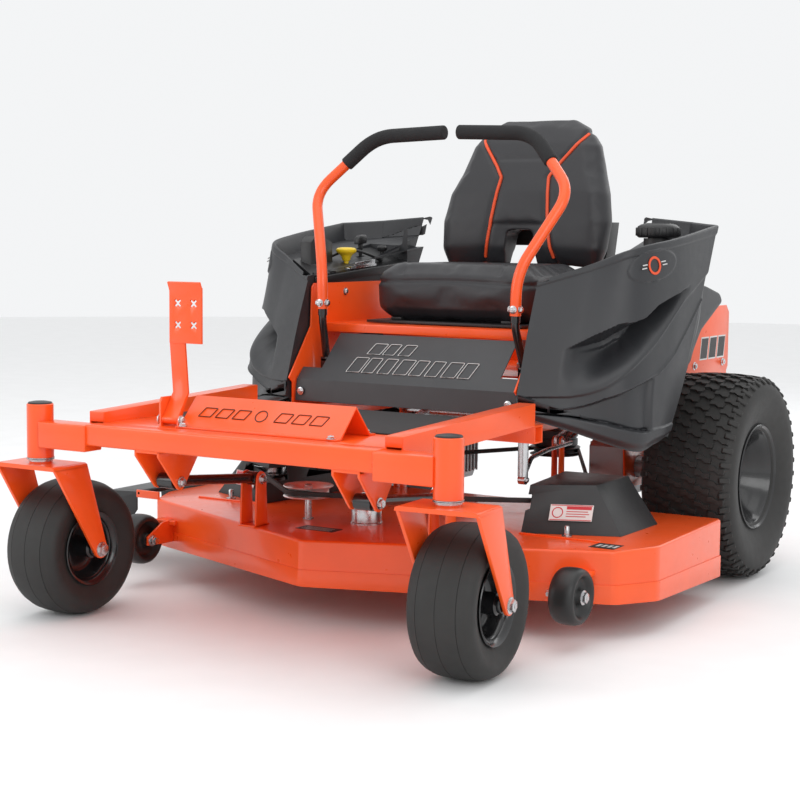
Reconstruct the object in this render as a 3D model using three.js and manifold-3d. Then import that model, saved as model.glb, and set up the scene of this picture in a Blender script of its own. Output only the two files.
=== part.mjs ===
// Zero-turn riding mower: frame, wheels, deck, controls, seat and engine.
// Millimetres, +Z up. The front faces -Y and the operator's left is +X.
// Every length is given from the machine's middle plane, and the whole machine is then
// moved sideways so that the one-sided discharge chute and the deck share the middle.
import * as THREE from "three";
import { mergeVertices } from "three/addons/utils/BufferGeometryUtils.js";
import Module from "manifold-3d";

const wasm = await Module();
wasm.setup();

// ---- driving dimensions ----
const SIDE_SHIFT = 110;
const GAP = 0.3;
const SHEET = 4;

const REAR_AXLE = { x: 584, y: 550, z: 279.5 };
const REAR_TYRE = { radius: 279.5, half: 132, bead: 128 };
const KINGPIN = { x: 561, y: -908, low: 394, high: 523, radius: 31.75 };
const CASTER_TYRE = { radius: 165, half: 77, bead: 76, trail: 106 };

const CASTER_TURN = { left: 4, right: 0 };

const BEAM = { front: -933, rear: -883, low: 436, high: 486, half: 400 };
const RAIL = { inner: 388, outer: 433, tall: 55, frontTop: 510, rearTop: 531, rearY: -278 };
const STRINGER = { inner: 288, outer: 330, low: 434, high: 479.5, rear: 900 };
const PAN = { low: 481, high: 485 };
const SIDE_PLATE = { inner: 336, outer: 341 };
const PANEL = { half: 330, topY: -61, topZ: 663, foldY: -181, foldZ: 544, lowY: -189, lowZ: 487 };

const DECK = { top: 210, frontLow: 100, rearLow: 62, frontY: -632, rearY: 232, wall: 5 };
const SPINDLES = {
  left: { x: 462, y: -112, radius: 52 },
  centre: { x: 0, y: -345, radius: 52 },
  right: { x: -462, y: -112, radius: 52 },
};
const BLADE = { radius: 234, low: 108, high: 114 };
const BELT = { low: 278, high: 290, thick: 8 };
const DRIVE_PULLEY = { x: 0, y: 705, radius: 76 };
const IDLER = { x: -150, y: -383, radius: 64 };
const FRONT_LINKS = { left: 324, right: -216 };
const LINK = { frontY: -852, frontZ: 360, rearY: -525, rearZ: 327 };
const LIFT = { x: 250, y: 385, z: 415, armY: 219, armZ: 380 };
const CHUTE = { x: -746, z: 218, front: -330, rear: 10, reach: -955 };
const SCALP = { x: 630, y: -470, z: 124, radius: 66 };

const LEVER = { x: 300, y: -83, shaftZ: 540, pinZ: 572, topX: 291, topY: -117, topZ: 729 };
const BRAKE = { y: -838, z: 500, inner: -196, outer: -240 };
const SEAT_HINGE = { y: 20, z: 694 };
const BODY_REAR = 966;
const ABOVE_PODS = 990;
const ENGINE = { y: 705, plate: 526 };

// Sides of a round piece: a pin, a shaft, a pulley or rim, a tyre.
const FINE = { pin: 8, shaft: 10, rim: 12, tyre: 18 };

// ---- colours ----
const ORANGE = 0xf4511e;
const CHARCOAL = 0x3b3c3f;
const BLACK = 0x17181a;
const TYRE_BLACK = 0x1e1e1e;
const ZINC = 0xb9bcc0;
const ALUMINIUM = 0x9a9da2;

const finish = (color, roughness, metalness) =>
  new THREE.MeshStandardMaterial({ color, roughness, metalness });
const powderCoat = () => finish(ORANGE, 0.3, 0.0);
const blackPaint = () => finish(BLACK, 0.35, 0.2);
const plastic = () => finish(CHARCOAL, 0.5, 0.0);
const rubber = () => finish(TYRE_BLACK, 0.85, 0.0);
const vinyl = () => finish(0x2a2a2d, 0.6, 0.0);
const foam = () => finish(0x1c1c1d, 0.9, 0.0);
const zinc = () => finish(ZINC, 0.3, 0.9);
const castMetal = () => finish(ALUMINIUM, 0.5, 0.8);
const yellowPlastic = () => finish(0xe6c21a, 0.4, 0.0);

// ---- shape helpers ----
const v2 = (x, y) => new THREE.Vector2(x, y);
const v3 = (x, y, z) => new THREE.Vector3(x, y, z);

function block(x0, x1, y0, y1, z0, z1) {
  const shape = new THREE.BoxGeometry(x1 - x0, y1 - y0, z1 - z0);
  return shape.translate((x0 + x1) / 2, (y0 + y1) / 2, (z0 + z1) / 2);
}

// A flat outline in X and Y, raised from z0 to z1.
function plateZ(points, z0, z1) {
  const outline = new THREE.Shape(points.map(([x, y]) => v2(x, y)));
  const shape = new THREE.ExtrudeGeometry(outline, { depth: z1 - z0, bevelEnabled: false });
  return shape.translate(0, 0, z0);
}

// A flat outline in Y and Z, drawn out from x0 to x1.
function plateX(points, x0, x1) {
  const shape = plateZ(points, 0, x1 - x0);
  shape.applyMatrix4(new THREE.Matrix4().makeBasis(v3(0, 1, 0), v3(0, 0, 1), v3(1, 0, 0)));
  return shape.translate(x0, 0, 0);
}

// A flat outline in X and Z, drawn out from y0 to y1.
function plateY(points, y0, y1) {
  const shape = plateZ(points, 0, y1 - y0);
  shape.rotateX(Math.PI / 2);
  return shape.translate(0, y1, 0);
}

// A closed profile of [radius, height] points spun about Z, X or Y and moved to a centre.
function spun(profile, segments, axis = "z", at = [0, 0, 0]) {
  const loop = [...profile, profile[0]].map(([r, h]) => v2(r, h));
  const shape = new THREE.LatheGeometry(loop, segments);
  if (axis === "z") shape.rotateX(Math.PI / 2);
  if (axis === "x") shape.rotateZ(-Math.PI / 2);
  return shape.translate(...at);
}

function rod(radius, low, high, segments, axis, at) {
  return spun([[0, low], [radius, low], [radius, high], [0, high]], segments, axis, at);
}

// A straight round bar between two points.
function bar(from, to, radius, segments = FINE.shaft) {
  const a = v3(...from);
  const along = v3(...to).sub(a);
  const shape = new THREE.CylinderGeometry(radius, radius, along.length(), segments);
  shape.translate(0, along.length() / 2, 0);
  const turn = new THREE.Quaternion().setFromUnitVectors(v3(0, 1, 0), along.normalize());
  return shape.applyQuaternion(turn).translate(a.x, a.y, a.z);
}

// A round tube that follows points with its corners rounded by a bend radius.
function bentTube(points, radius, bend, sides = 12, steps = 36) {
  const corners = points.map((p) => v3(...p));
  const path = new THREE.CurvePath();
  let start = corners[0];
  for (let i = 1; i < corners.length - 1; i += 1) {
    const before = corners[i - 1].clone().sub(corners[i]).setLength(bend).add(corners[i]);
    const after = corners[i + 1].clone().sub(corners[i]).setLength(bend).add(corners[i]);
    path.add(new THREE.LineCurve3(start, before));
    path.add(new THREE.QuadraticBezierCurve3(before, corners[i], after));
    start = after;
  }
  path.add(new THREE.LineCurve3(start, corners.at(-1)));
  const circle = new THREE.Shape().absarc(0, 0, radius, 0, 2 * Math.PI);
  return new THREE.ExtrudeGeometry(circle, {
    steps, curveSegments: sides, extrudePath: path, bevelEnabled: false,
  });
}

// Rings of points, all of one length, joined side by side and closed at both ends.
function loft(rings) {
  const count = rings[0].length;
  const corners = rings.flat(2);
  const faces = [];
  for (let r = 0; r < rings.length - 1; r += 1) {
    for (let i = 0; i < count; i += 1) {
      const a = r * count + i;
      const b = r * count + ((i + 1) % count);
      faces.push(a, b, b + count, a, b + count, a + count);
    }
  }
  const flat = rings[0].map(([x, y]) => v2(x, y));
  const top = (rings.length - 1) * count;
  for (const [a, b, c] of THREE.ShapeUtils.triangulateShape(flat, [])) {
    faces.push(c, b, a, top + a, top + b, top + c);
  }
  const shape = new THREE.BufferGeometry();
  shape.setAttribute("position", new THREE.Float32BufferAttribute(corners, 3));
  shape.setIndex(faces);
  return shape;
}

function signedVolume(shape) {
  const p = shape.attributes.position;
  const corner = [v3(), v3(), v3()];
  let total = 0;
  for (let i = 0; i < shape.index.count; i += 3) {
    corner.forEach((c, k) => c.fromBufferAttribute(p, shape.index.getX(i + k)));
    total += corner[0].dot(corner[1].clone().cross(corner[2]));
  }
  return total / 6;
}

// Vertices merged and every face turned outwards.
function closed(shape) {
  const bare = shape.index ? shape.clone() : shape;
  bare.deleteAttribute("normal");
  bare.deleteAttribute("uv");
  bare.clearGroups();
  const merged = mergeVertices(bare, 1e-3);
  const kept = [];
  const index = merged.index.array;
  for (let i = 0; i < index.length; i += 3) {
    const [a, b, c] = [index[i], index[i + 1], index[i + 2]];
    if (a !== b && b !== c && c !== a) kept.push(a, b, c);
  }
  merged.setIndex(kept);
  if (signedVolume(merged) < 0) {
    for (let i = 0; i < kept.length; i += 3) [kept[i], kept[i + 1]] = [kept[i + 1], kept[i]];
    merged.setIndex(kept);
  }
  return merged;
}

function solid(shape) {
  const tidy = closed(shape);
  const vertProperties = new Float32Array(tidy.attributes.position.array);
  const triVerts = new Uint32Array(tidy.index.array);
  return new wasm.Manifold(new wasm.Mesh({ numProp: 3, vertProperties, triVerts }));
}

function fromSolid(body) {
  const mesh = body.getMesh();
  const shape = new THREE.BufferGeometry();
  const position = new THREE.Float32BufferAttribute(mesh.vertProperties, mesh.numProp);
  shape.setAttribute("position", position);
  shape.setIndex(Array.from(mesh.triVerts));
  return shape;
}

function weld(...shapes) {
  return fromSolid(shapes.map(solid).reduce((all, next) => all.add(next)));
}

function cut(shape, ...tools) {
  return fromSolid(tools.map(solid).reduce((rest, tool) => rest.subtract(tool), solid(shape)));
}

const mirrored = (shape) => closed(shape).applyMatrix4(new THREE.Matrix4().makeScale(-1, 1, 1));
const sides = [["left", 1], ["right", -1]];
const facing = (shape, side) => (side > 0 ? shape : mirrored(shape));
const mirrorPoints = (points) => points.map(([x, y, z]) => [-x, y, z]);

const mower = new THREE.Group();
mower.position.x = SIDE_SHIFT;

function part(name, shape, material) {
  const mesh = new THREE.Mesh(closed(shape), material);
  mesh.name = name;
  mower.add(mesh);
}

// ---- front frame ----
// Two pointed plates that carry the front of the deck on one bolt.
function deckHanger(x) {
  const tip = { y: LINK.frontY, z: LINK.frontZ };
  const outline = [
    [BEAM.front, BEAM.low + 2], [-781, BEAM.low + 2], [-781, BEAM.low - 12],
    [tip.y + 16, tip.z - 10], [tip.y, tip.z - 17], [tip.y - 16, tip.z - 10],
    [BEAM.front, BEAM.low - 12],
  ];
  const flange = block(x - 36, x + 36, BEAM.front, -781, BEAM.low - 5, BEAM.low + 2);
  const plates = [-36, 30].map((dx) => plateX(outline, x + dx, x + dx + 6));
  return weld(flange, ...plates, rod(6, -44, 44, FINE.pin, "x", [x, tip.y, tip.z]));
}

function frontBeam() {
  const centre = block(-BEAM.half, BEAM.half, BEAM.front, BEAM.rear, BEAM.low, BEAM.high);
  const ends = sides.map(([, s]) =>
    facing(block(BEAM.half - 5, KINGPIN.x - 12, -939, -878, 421, 483), s));
  const tubes = sides.map(([, s]) =>
    rod(KINGPIN.radius, KINGPIN.low, KINGPIN.high, FINE.rim, "z", [s * KINGPIN.x, KINGPIN.y, 0]));
  const whole = weld(centre, ...ends, ...tubes, ...Object.values(FRONT_LINKS).map(deckHanger));
  const bores = sides.map(([, s]) =>
    rod(13.5, KINGPIN.low - 1, KINGPIN.high - 12, FINE.rim, "z", [s * KINGPIN.x, KINGPIN.y, 0]));
  const hollow = block(-BEAM.half + 8, BEAM.half - 8, BEAM.front + 4, BEAM.rear - 4,
    BEAM.low + 4, BEAM.high - 4);
  const drains = [-60, 60].map((x) => block(x - 6, x + 6, -914, -902, BEAM.low - 9, BEAM.low + 6));
  return cut(whole, ...bores, hollow, ...drains);
}

// Two sloping box rails in front, a box cross member and the two stringers behind it.
function mainFrame() {
  const { inner, outer, tall, frontTop, rearTop, rearY } = RAIL;
  const frontY = -877;
  const outline = (end, wall) => [
    [end, frontTop - tall + wall], [end, frontTop - wall],
    [rearY + 1, rearTop - wall], [rearY + 1, rearTop - tall + wall],
  ];
  const hollow = plateX(outline(frontY - 5, SHEET), inner + SHEET, outer - SHEET);
  const rail = cut(plateX(outline(frontY, 0), inner, outer), hollow);
  const { low, high } = STRINGER;
  const backY = rearY + 42;
  const cross = cut(block(-outer, outer, rearY, backY, low, rearTop - tall + 1.5),
    block(-outer - 5, outer + 5, rearY + SHEET, backY - SHEET, low + SHEET, 473));
  const stringer = cut(
    block(STRINGER.inner, STRINGER.outer, backY - 2, STRINGER.rear, low, high),
    block(STRINGER.inner + SHEET, STRINGER.outer - SHEET, backY + 1, STRINGER.rear + 5,
      low + SHEET, high - SHEET));
  return weld(rail, mirrored(rail), cross, stringer, mirrored(stringer));
}

function floorPan() {
  const half = RAIL.inner - 1;
  const sheet = block(-half, half, -876, RAIL.rearY - GAP, PAN.low, PAN.high);
  const ribs = [-200, 0, 200].map((x) =>
    block(x - 20, x + 20, -830, -300, PAN.low - 12, PAN.low + 1));
  const { y, z, inner, outer } = BRAKE;
  const tallEar = plateX([[y - 10, PAN.low], [y - 10, 538], [y - 4, 552], [-788, 552],
    [-770, 520], [-770, PAN.low]], outer - 7, outer - 1);
  const lowEar = plateX([[y - 10, PAN.low], [y - 10, z + 6], [y - 5, z + 11], [y + 5, z + 11],
    [y + 10, z + 6], [y + 10, PAN.low]], inner + 1, inner + 6);
  const pin = rod(5, outer - 7, inner + 6, FINE.pin, "x", [0, y, z]);
  return weld(sheet, ...ribs, tallEar, lowEar, pin);
}

// A sheet folded into a ridge for the operator's heels to brace on.
function footrest() {
  const base = PAN.high + GAP;
  const outer = [
    [-862, base], [-862, base + SHEET], [-846, base + SHEET], [-783, 555], [-725, base + SHEET],
    [-705, base + SHEET], [-705, base], [-728, base], [-783, 549], [-842, base],
  ];
  return plateX(outer, BRAKE.inner + 8, 255);
}

// ---- body sheet metal ----
function frontPanel() {
  const { half, topY, topZ, foldY, foldZ, lowY, lowZ } = PANEL;
  const t = 3;
  const profile = [
    [topY, topZ], [foldY, foldZ], [lowY, lowZ], [lowY + t, lowZ],
    [foldY + t, foldZ - 1], [topY + t, topZ - 1],
  ];
  const notch = block(270, half + 5, -180, 0, 574, topZ + 5);
  return cut(plateX(profile, -half, half), notch, mirrored(notch));
}

function sidePlate() {
  const outline = [
    [-190, 474], [-190, 534], [-206, 548], [-105, 682], [-100, 786], [-90, 796], [300, 796], [420, 700],
    [700, 700], [710, 690], [710, 474], [660, 440], [640, 225], [460, 225], [446, 385],
    [362, 385], [350, 474],
  ];
  const plate = plateX(outline, SIDE_PLATE.inner, SIDE_PLATE.outer);
  const axleHole = rod(32, 320, 360, FINE.rim, "x", [0, REAR_AXLE.y, REAR_AXLE.z]);
  const liftHole = rod(15.8, 320, 360, FINE.shaft, "x", [0, LIFT.y, LIFT.z]);
  const leverHole = rod(9.6, 320, 360, FINE.shaft, "x", [0, LEVER.y, LEVER.shaftZ]);
  const window = plateX([[40, 560], [300, 560], [260, 650], [40, 650]], 320, 360);
  return cut(plate, axleHole, liftHole, leverHole, window);
}

function seatPan() {
  const half = SIDE_PLATE.inner - GAP;
  const sheet = block(-half, half, -58, 430, 684, 688);
  const lip = block(-half, half, -58, -54, 666, 686);
  const slots = [-180, -60, 60, 180].map((x) => block(x - 14, x + 14, 60, 300, 680, 692));
  return cut(weld(sheet, lip), ...slots);
}

// Engine plate, two side wings and the bumper bar behind the engine.
function rearFrame() {
  const wingOutline = [[640, 520], [640, 726], [944, 728], [BODY_REAR, 706], [BODY_REAR, 545],
    [944, 520]];
  const wing = plateX(wingOutline, 436, 441);
  const plate = cut(block(-437, 437, 430, BODY_REAR - 6, 520, ENGINE.plate),
    block(SIDE_PLATE.inner - 1, SIDE_PLATE.outer + 1, 400, 712, 500, 540),
    block(-SIDE_PLATE.outer - 1, 1 - SIDE_PLATE.inner, 400, 712, 500, 540),
    block(SIDE_PLATE.outer, 440, 400, 638, 500, 540),
    block(-440, -SIDE_PLATE.outer, 400, 638, 500, 540),
    rod(60, 500, 540, FINE.rim, "z", [DRIVE_PULLEY.x, DRIVE_PULLEY.y, 0]));
  const bumper = block(-437, 437, BODY_REAR - 6, BODY_REAR, 521, 640);
  const foot = block(STRINGER.inner + 6, STRINGER.outer - 6, 730, 880, STRINGER.high + GAP, 521);
  return weld(plate, wing, mirrored(wing), bumper, foot, mirrored(foot));
}

// ---- rear side pods ----
// The console is a tilted board: it rises outwards and to the rear.
const CONSOLE = {
  corners: [[-342, -80], [-342, 400], [-472, 400], [-472, 0]],
  frontHeight: 810, risePerOut: 0.32, risePerBack: 0.08, depth: 22,
  hood: { inner: 416, outer: 452 },
  throttle: { x: -424, y: 270, z: 859 },
  knob: { x: -400, y: 160 },
};

// Outline of the console, moved up by one distance and outwards by another.
function consoleRing(up, grow) {
  const [[innerX, frontY]] = CONSOLE.corners;
  return CONSOLE.corners.map(([cornerX, cornerY], i) => {
    const x = cornerX + (cornerX === innerX ? grow : -grow);
    const y = cornerY + (i === 0 || i === 3 ? -grow : grow);
    const rise = (innerX - x) * CONSOLE.risePerOut + (y - frontY) * CONSOLE.risePerBack;
    return [x, y, CONSOLE.frontHeight + rise + up];
  });
}

// Rings from the bottom edge to the rim: each holds the plan of the pod at that level.
const POD_PLAN = [
  [[345, -223, 497], [455, -168, 462], [590, -55, 404], [612, 50, 414], [600, 145, 420],
    [585, 152, 425], [345, 152, 440]],
  [[345, -200, 560], [455, -141, 558], [578, -70, 560], [614, 70, 552], [612, 205, 545],
    [590, 240, 565], [345, 240, 580]],
  [[345, -155, 690], [460, -92, 705], [570, -5, 735], [606, 150, 745], [612, 300, 725],
    [575, 400, 735], [345, 400, 740]],
  [[345, -105, 814], [460, -35, 857], [556, 23, 897], [598, 180, 922], [600, 441, 957],
    [500, 520, 965], [345, 545, 978]],
];
// Heights of the ceiling inside the pod, point by point around the rim.
const POD_CEILING = [752, 790, 830, 835, 845, 840, 830];

// The same rings moved inwards, for the hollow inside. It is open below and along the seat.
function podHollow(wall) {
  const last = POD_PLAN.length - 1;
  return POD_PLAN.map((ring, level) => ring.map(([x, y, z], i) => {
    const inward = i === 0 || i === ring.length - 1 ? 40 : wall;
    const rearward = i > 4 ? -wall : wall * 1.6;
    const height = level === last ? POD_CEILING[i] : z - (level === 0 ? 90 : 0);
    return [x - inward, y + rearward, height];
  }));
}

function pod() {
  const skin = loft(POD_PLAN);
  const trayFloor = [[352, -70, 794], [455, -8, 832], [540, 40, 868], [580, 180, 896],
    [582, 430, 926], [492, 508, 935], [352, 530, 944]];
  const tray = loft([trayFloor, trayFloor.map(([x, y]) => [x, y, ABOVE_PODS])]);
  const tank = plateX([
    [200, 590], [200, 780], [480, 790], [560, 770], [612, 700], [618, 610], [590, 590],
  ], 446, 560);
  const hollow = loft(podHollow(5));
  const tankHollow = plateX([[150, 596], [150, 760], [476, 778], [548, 762], [606, 694],
    [611, 614], [588, 596]], 430, 554);
  return cut(weld(cut(skin, hollow, tray), tank), tankHollow);
}

function leftPod() {
  const neck = rod(38, 850, 925, FINE.rim, "z", [478, 330, 0]);
  const bore = rod(30, 840, 940, FINE.rim, "z", [478, 330, 0]);
  return cut(weld(pod(), neck), bore);
}

// The right pod has a deep recess along the seat for the control console.
function rightPod() {
  const floor = consoleRing(-CONSOLE.depth - GAP, 2);
  const recess = loft([floor, floor.map(([x, y]) => [x, y, ABOVE_PODS])]);
  return cut(mirrored(pod()), recess);
}

function fuelCap() {
  const profile = [[0, 906], [27, 906], [27, 926], [56, 926], [60, 932], [60, 950], [52, 962],
    [20, 966], [0, 966]];
  return spun(profile, FINE.tyre, "z", [478, 330, 0]);
}

// Dash of the controls, sunk into the right pod.
function controlConsole() {
  const { depth, hood, throttle, knob } = CONSOLE;
  const base = loft([consoleRing(-depth, 0), consoleRing(0, 0)]);
  const cover = plateX([[8, 836], [8, 905], [30, 922], [60, 922], [112, 905], [116, 846]],
    -hood.outer, -hood.inner);
  const throttleSlot = block(throttle.x - 4, throttle.x + 4, throttle.y - 20, throttle.y + 20,
    800, 900);
  const knobHole = rod(8, 780, 880, FINE.shaft, "z", [knob.x, knob.y, 0]);
  return cut(weld(base, cover), throttleSlot, knobHole);
}

function ptoKnob() {
  const profile = [[0, 838], [6.5, 838], [6.5, 856], [16, 860], [27, 875], [29, 883], [24, 891],
    [0, 891]];
  return spun(profile, FINE.rim, "z", [CONSOLE.knob.x, CONSOLE.knob.y, 0]);
}

function throttleLever() {
  const { x, y, z } = CONSOLE.throttle;
  const stem = plateX([[y - 5, z], [y - 11, z + 44], [y + 13, z + 44], [y + 5, z]], x - 2, x + 2);
  const handle = plateX([[y - 23, z + 40], [y - 19, z + 62], [y + 20, z + 66], [y + 23, z + 44]],
    x - 8, x + 8);
  return weld(stem, handle);
}

// ---- controls ----
// Rocks on a cross shaft in the side plate and holds the pin that the lever swings out on.
function pivotBlock() {
  const { x, y, shaftZ, pinZ } = LEVER;
  const shaft = rod(9, -14, SIDE_PLATE.outer + 4 - x, FINE.shaft, "x", [x, y, shaftZ]);
  const body = block(x - 15, x + 15, y - 18, y + 18, shaftZ - 16, shaftZ + 16);
  const tongue = block(x - 10, x + 10, y - 4, y + 4, shaftZ + 10, pinZ + 10);
  const pin = rod(5, -17, 17, FINE.pin, "y", [x, y, pinZ]);
  return weld(shaft, body, tongue, pin);
}

function controlLever() {
  const { x, y, pinZ, topX, topY, topZ } = LEVER;
  const ear = (y0, y1) => block(x - 12, x + 12, y + y0, y + y1, pinZ - 12, pinZ + 24);
  const bridge = block(x - 12, x + 12, y - 13, y + 13, pinZ + 12, pinZ + 26);
  const fork = cut(weld(ear(-13, -4.5), ear(4.5, 13), bridge),
    rod(5.4, -30, 30, FINE.pin, "y", [x, y, pinZ]));
  const stem = bar([x, y, pinZ + 20], [topX, topY, topZ - 4], 11);
  const plug = bar([topX, topY, topZ - 20], [topX, topY, topZ + 30], 8.8);
  return weld(fork, stem, plug);
}

const BAR_TUBE = 14.3;
const BAR_BEND = 55;
const BAR_KNEE = [385, -13, 1040];
const BAR_CORNER = [240, 62, 1192];
const BAR_TIP = [24, 58, 1199];
const GRIP_START = BAR_KNEE.map((v, i) => (v + BAR_CORNER[i]) / 2);

function lapBar() {
  const { topX, topY, topZ } = LEVER;
  const points = [[topX, topY, topZ], [topX + 2, topY, topZ + 106], BAR_KNEE, BAR_CORNER, BAR_TIP];
  const tube = bentTube(points, BAR_TUBE, BAR_BEND, 4, 22);
  const bolt = rod(6, -20, 20, 6, "x", [topX, topY, topZ + 14]);
  const socket = bar([topX, topY, topZ - 5], [topX, topY, topZ + 31], 9.6);
  return cut(weld(tube, bolt), socket);
}

// A foam sleeve over the bent end of the bar.
function grip() {
  const sleeve = bentTube([GRIP_START, BAR_CORNER, [22, 58, 1199.1]], 19.5, BAR_BEND, 5, 10);
  const bore = bentTube([BAR_KNEE, BAR_CORNER, [10, 58, 1199.5]], BAR_TUBE + 1.4, BAR_BEND, 5, 12);
  return cut(sleeve, bore);
}

function brakePedal() {
  const { y, z, inner, outer } = BRAKE;
  const strap = plateX([
    [y - 8, z + 3], [-806, z + 62], [-817, z + 176], [-818, z + 200], [-812, z + 200],
    [-811, z + 176], [-800, z + 60], [y + 6, z - 4],
  ], outer, inner);
  const barrel = rod(10, outer, inner, FINE.shaft, "x", [0, y, z]);
  const padFront = -818;
  const padInner = -146;
  const pad = block(outer, padInner, padFront, padFront + 5, 676, 804);
  const lip = plateX([[padFront, 796], [padFront + 5, 800], [padFront - 3, 818],
    [padFront - 8, 816]], outer, padInner);
  const cross = (x, h) => [45, -45].map((turn) => block(-11, 11, -20, 20, -3, 3)
    .applyMatrix4(new THREE.Matrix4().makeTranslation(x, padFront, h)
      .multiply(new THREE.Matrix4().makeRotationY((turn * Math.PI) / 180))));
  const holes = [-216, -170].flatMap((x) => [718, 768].flatMap((h) => cross(x, h)));
  return cut(weld(strap, barrel, pad, lip), rod(5.6, outer - 9, inner + 9, FINE.pin, "x", [0, y, z]),
    ...holes);
}

// ---- seat ----
// A rectangle with rounded corners at one height, as a ring of points.
function roundedRing(halfX, y0, y1, z, corner) {
  const middle = (y0 + y1) / 2;
  const halfY = (y1 - y0) / 2;
  const ring = [];
  for (const [sx, sy, from] of [[1, 1, 0], [-1, 1, 90], [-1, -1, 180], [1, -1, 270]]) {
    for (let step = 0; step <= 2; step += 1) {
      const angle = ((from + step * 45) * Math.PI) / 180;
      ring.push([sx * (halfX - corner) + corner * Math.cos(angle),
        middle + sy * (halfY - corner) + corner * Math.sin(angle), z]);
    }
  }
  return ring;
}

function seatCushion() {
  return loft([
    roundedRing(236, 44, 468, 700, 50), roundedRing(256, 24, 480, 728, 60),
    roundedRing(258, 20, 482, 790, 64), roundedRing(226, 52, 462, 824, 50),
  ]);
}

function seatBack() {
  return loft([
    roundedRing(222, 448, 510, 840, 26), roundedRing(272, 430, 528, 890, 36),
    roundedRing(278, 444, 550, 1000, 40), roundedRing(262, 492, 596, 1150, 40),
    roundedRing(214, 532, 612, 1232, 36), roundedRing(140, 566, 606, 1270, 18),
  ]);
}

function seatBracket() {
  const base = block(-238, 238, SEAT_HINGE.y - 2, 506, 690.5, 697);
  const window = block(-150, 150, 90, 400, 680, 710);
  const arm = plateX([
    [488, 691], [500, 824], [533, 880], [555, 980], [566, 1026], [624, 1020], [606, 940],
    [580, 840], [556, 760], [552, 691],
  ], 230, 237);
  const tie = block(-232, 232, 585, 591, 900, 960);
  return weld(cut(base, window), arm, mirrored(arm), tie);
}

// ---- wheels ----
function rearTyre() {
  const { radius, half, bead } = REAR_TYRE;
  const profile = [
    [bead + 0.4, -100], [150, -108], [190, -126], [240, -half], [266, -120],
    [radius, -84], [radius, 84], [266, 120], [240, half], [190, 126], [150, 108],
    [bead + 0.4, 100], [146, 92], [254, 88], [254, -88], [146, -92],
  ];
  return spun(profile, FINE.tyre, "x", [REAR_AXLE.x, REAR_AXLE.y, REAR_AXLE.z]);
}

function rearRim() {
  const { bead } = REAR_TYRE;
  const profile = [
    [18.4, -132], [46, -132], [46, -122], [30, -118], [30, -30], [60, -30], [108, -8], [112, -76],
    [142, -114], [142, -108], [bead - 2, -100], [bead - 2, 100], [142, 108], [142, 114],
    [112, 70], [108, 0], [60, -20], [30, -20], [30, 8], [18.4, 8],
  ];
  return spun(profile, FINE.rim, "x", [REAR_AXLE.x, REAR_AXLE.y, REAR_AXLE.z]);
}

function casterTyre() {
  const { radius, half, bead } = CASTER_TYRE;
  const profile = [
    [bead + 0.4, -52], [96, -62], [130, -half], [154, -66], [radius, -34],
    [radius, 34], [154, 66], [130, half], [96, 62], [bead + 0.4, 52],
    [92, 48], [146, 52], [146, -52], [92, -48],
  ];
  return spun(profile, FINE.tyre, "x");
}

function casterRim() {
  const { bead } = CASTER_TYRE;
  const profile = [
    [10, -80], [23, -80], [23, -4], [66, -4], [74, -58], [89, -66], [89, -61], [bead - 2, -54],
    [bead - 2, 54], [89, 61], [89, 66], [74, 58], [66, 4], [23, 4], [23, 80], [10, 80],
  ];
  return spun(profile, FINE.rim, "x");
}

function casterFork() {
  const axle = { y: CASTER_TYRE.trail, z: CASTER_TYRE.radius };
  const crown = block(-95, 95, -57, 58, 372, 382);
  const end = [-150, -110, -60, -10, 30].map((degrees) => {
    const angle = (degrees * Math.PI) / 180;
    return [axle.y + 22 * Math.cos(angle), axle.z + 22 * Math.sin(angle)];
  });
  const leg = plateX([[-57, 382], ...end, [58, 382]], 86, 95);
  const stem = weld(rod(12.5, 376, KINGPIN.high - 13, FINE.rim, "z"), rod(26, 380, 390, FINE.rim, "z"));
  const bolt = rod(8.5, -95, 95, FINE.pin, "x", [0, axle.y, axle.z]);
  const heads = [[-107, -94], [94, 107]].map(([a, b]) =>
    rod(14, a, b, 6, "x", [0, axle.y, axle.z]));
  return weld(crown, leg, mirrored(leg), stem, bolt, ...heads);
}

// ---- mower deck ----
const DECK_PLAN = [[0, -632], [680, -343], [735, -225], [715, 232], [-715, 232], [-735, -225],
  [-680, -343]];

function deckLow(y) {
  const along = (y - DECK.frontY) / (DECK.rearY - DECK.frontY);
  return DECK.frontLow + along * (DECK.rearLow - DECK.frontLow);
}

// Every edge of a counter-clockwise outline moved inwards by one distance.
function inset(points, by) {
  const lines = points.map(([x0, y0], i) => {
    const [x1, y1] = points[(i + 1) % points.length];
    const length = Math.hypot(x1 - x0, y1 - y0);
    const along = [(x1 - x0) / length, (y1 - y0) / length];
    return { at: [x0 - along[1] * by, y0 + along[0] * by], along };
  });
  return lines.map((line, i) => {
    const last = lines[(i + lines.length - 1) % lines.length];
    const [dx, dy] = [line.at[0] - last.at[0], line.at[1] - last.at[1]];
    const cross = last.along[0] * line.along[1] - last.along[1] * line.along[0];
    const t = (dx * line.along[1] - dy * line.along[0]) / cross;
    return [last.at[0] + t * last.along[0], last.at[1] + t * last.along[1]];
  });
}

function deckBlock(points, below, top) {
  return loft([
    points.map(([x, y]) => [x, y, deckLow(y) - below]), points.map(([x, y]) => [x, y, top]),
  ]);
}

// A pair of upright plates with a pin across them.
function deckBracket(x, y, z, halfGap, depth) {
  const outline = [[y - depth, DECK.top - 2], [y + depth, DECK.top - 2], [y + 15, z + 6],
    [y + 9, z + 15], [y - 9, z + 15], [y - 15, z + 6]];
  const plates = [-halfGap - 5, halfGap].map((dx) => plateX(outline, x + dx, x + dx + 5));
  return weld(...plates, rod(6, -halfGap - 12, halfGap + 12, FINE.pin, "x", [x, y, z]));
}

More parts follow.
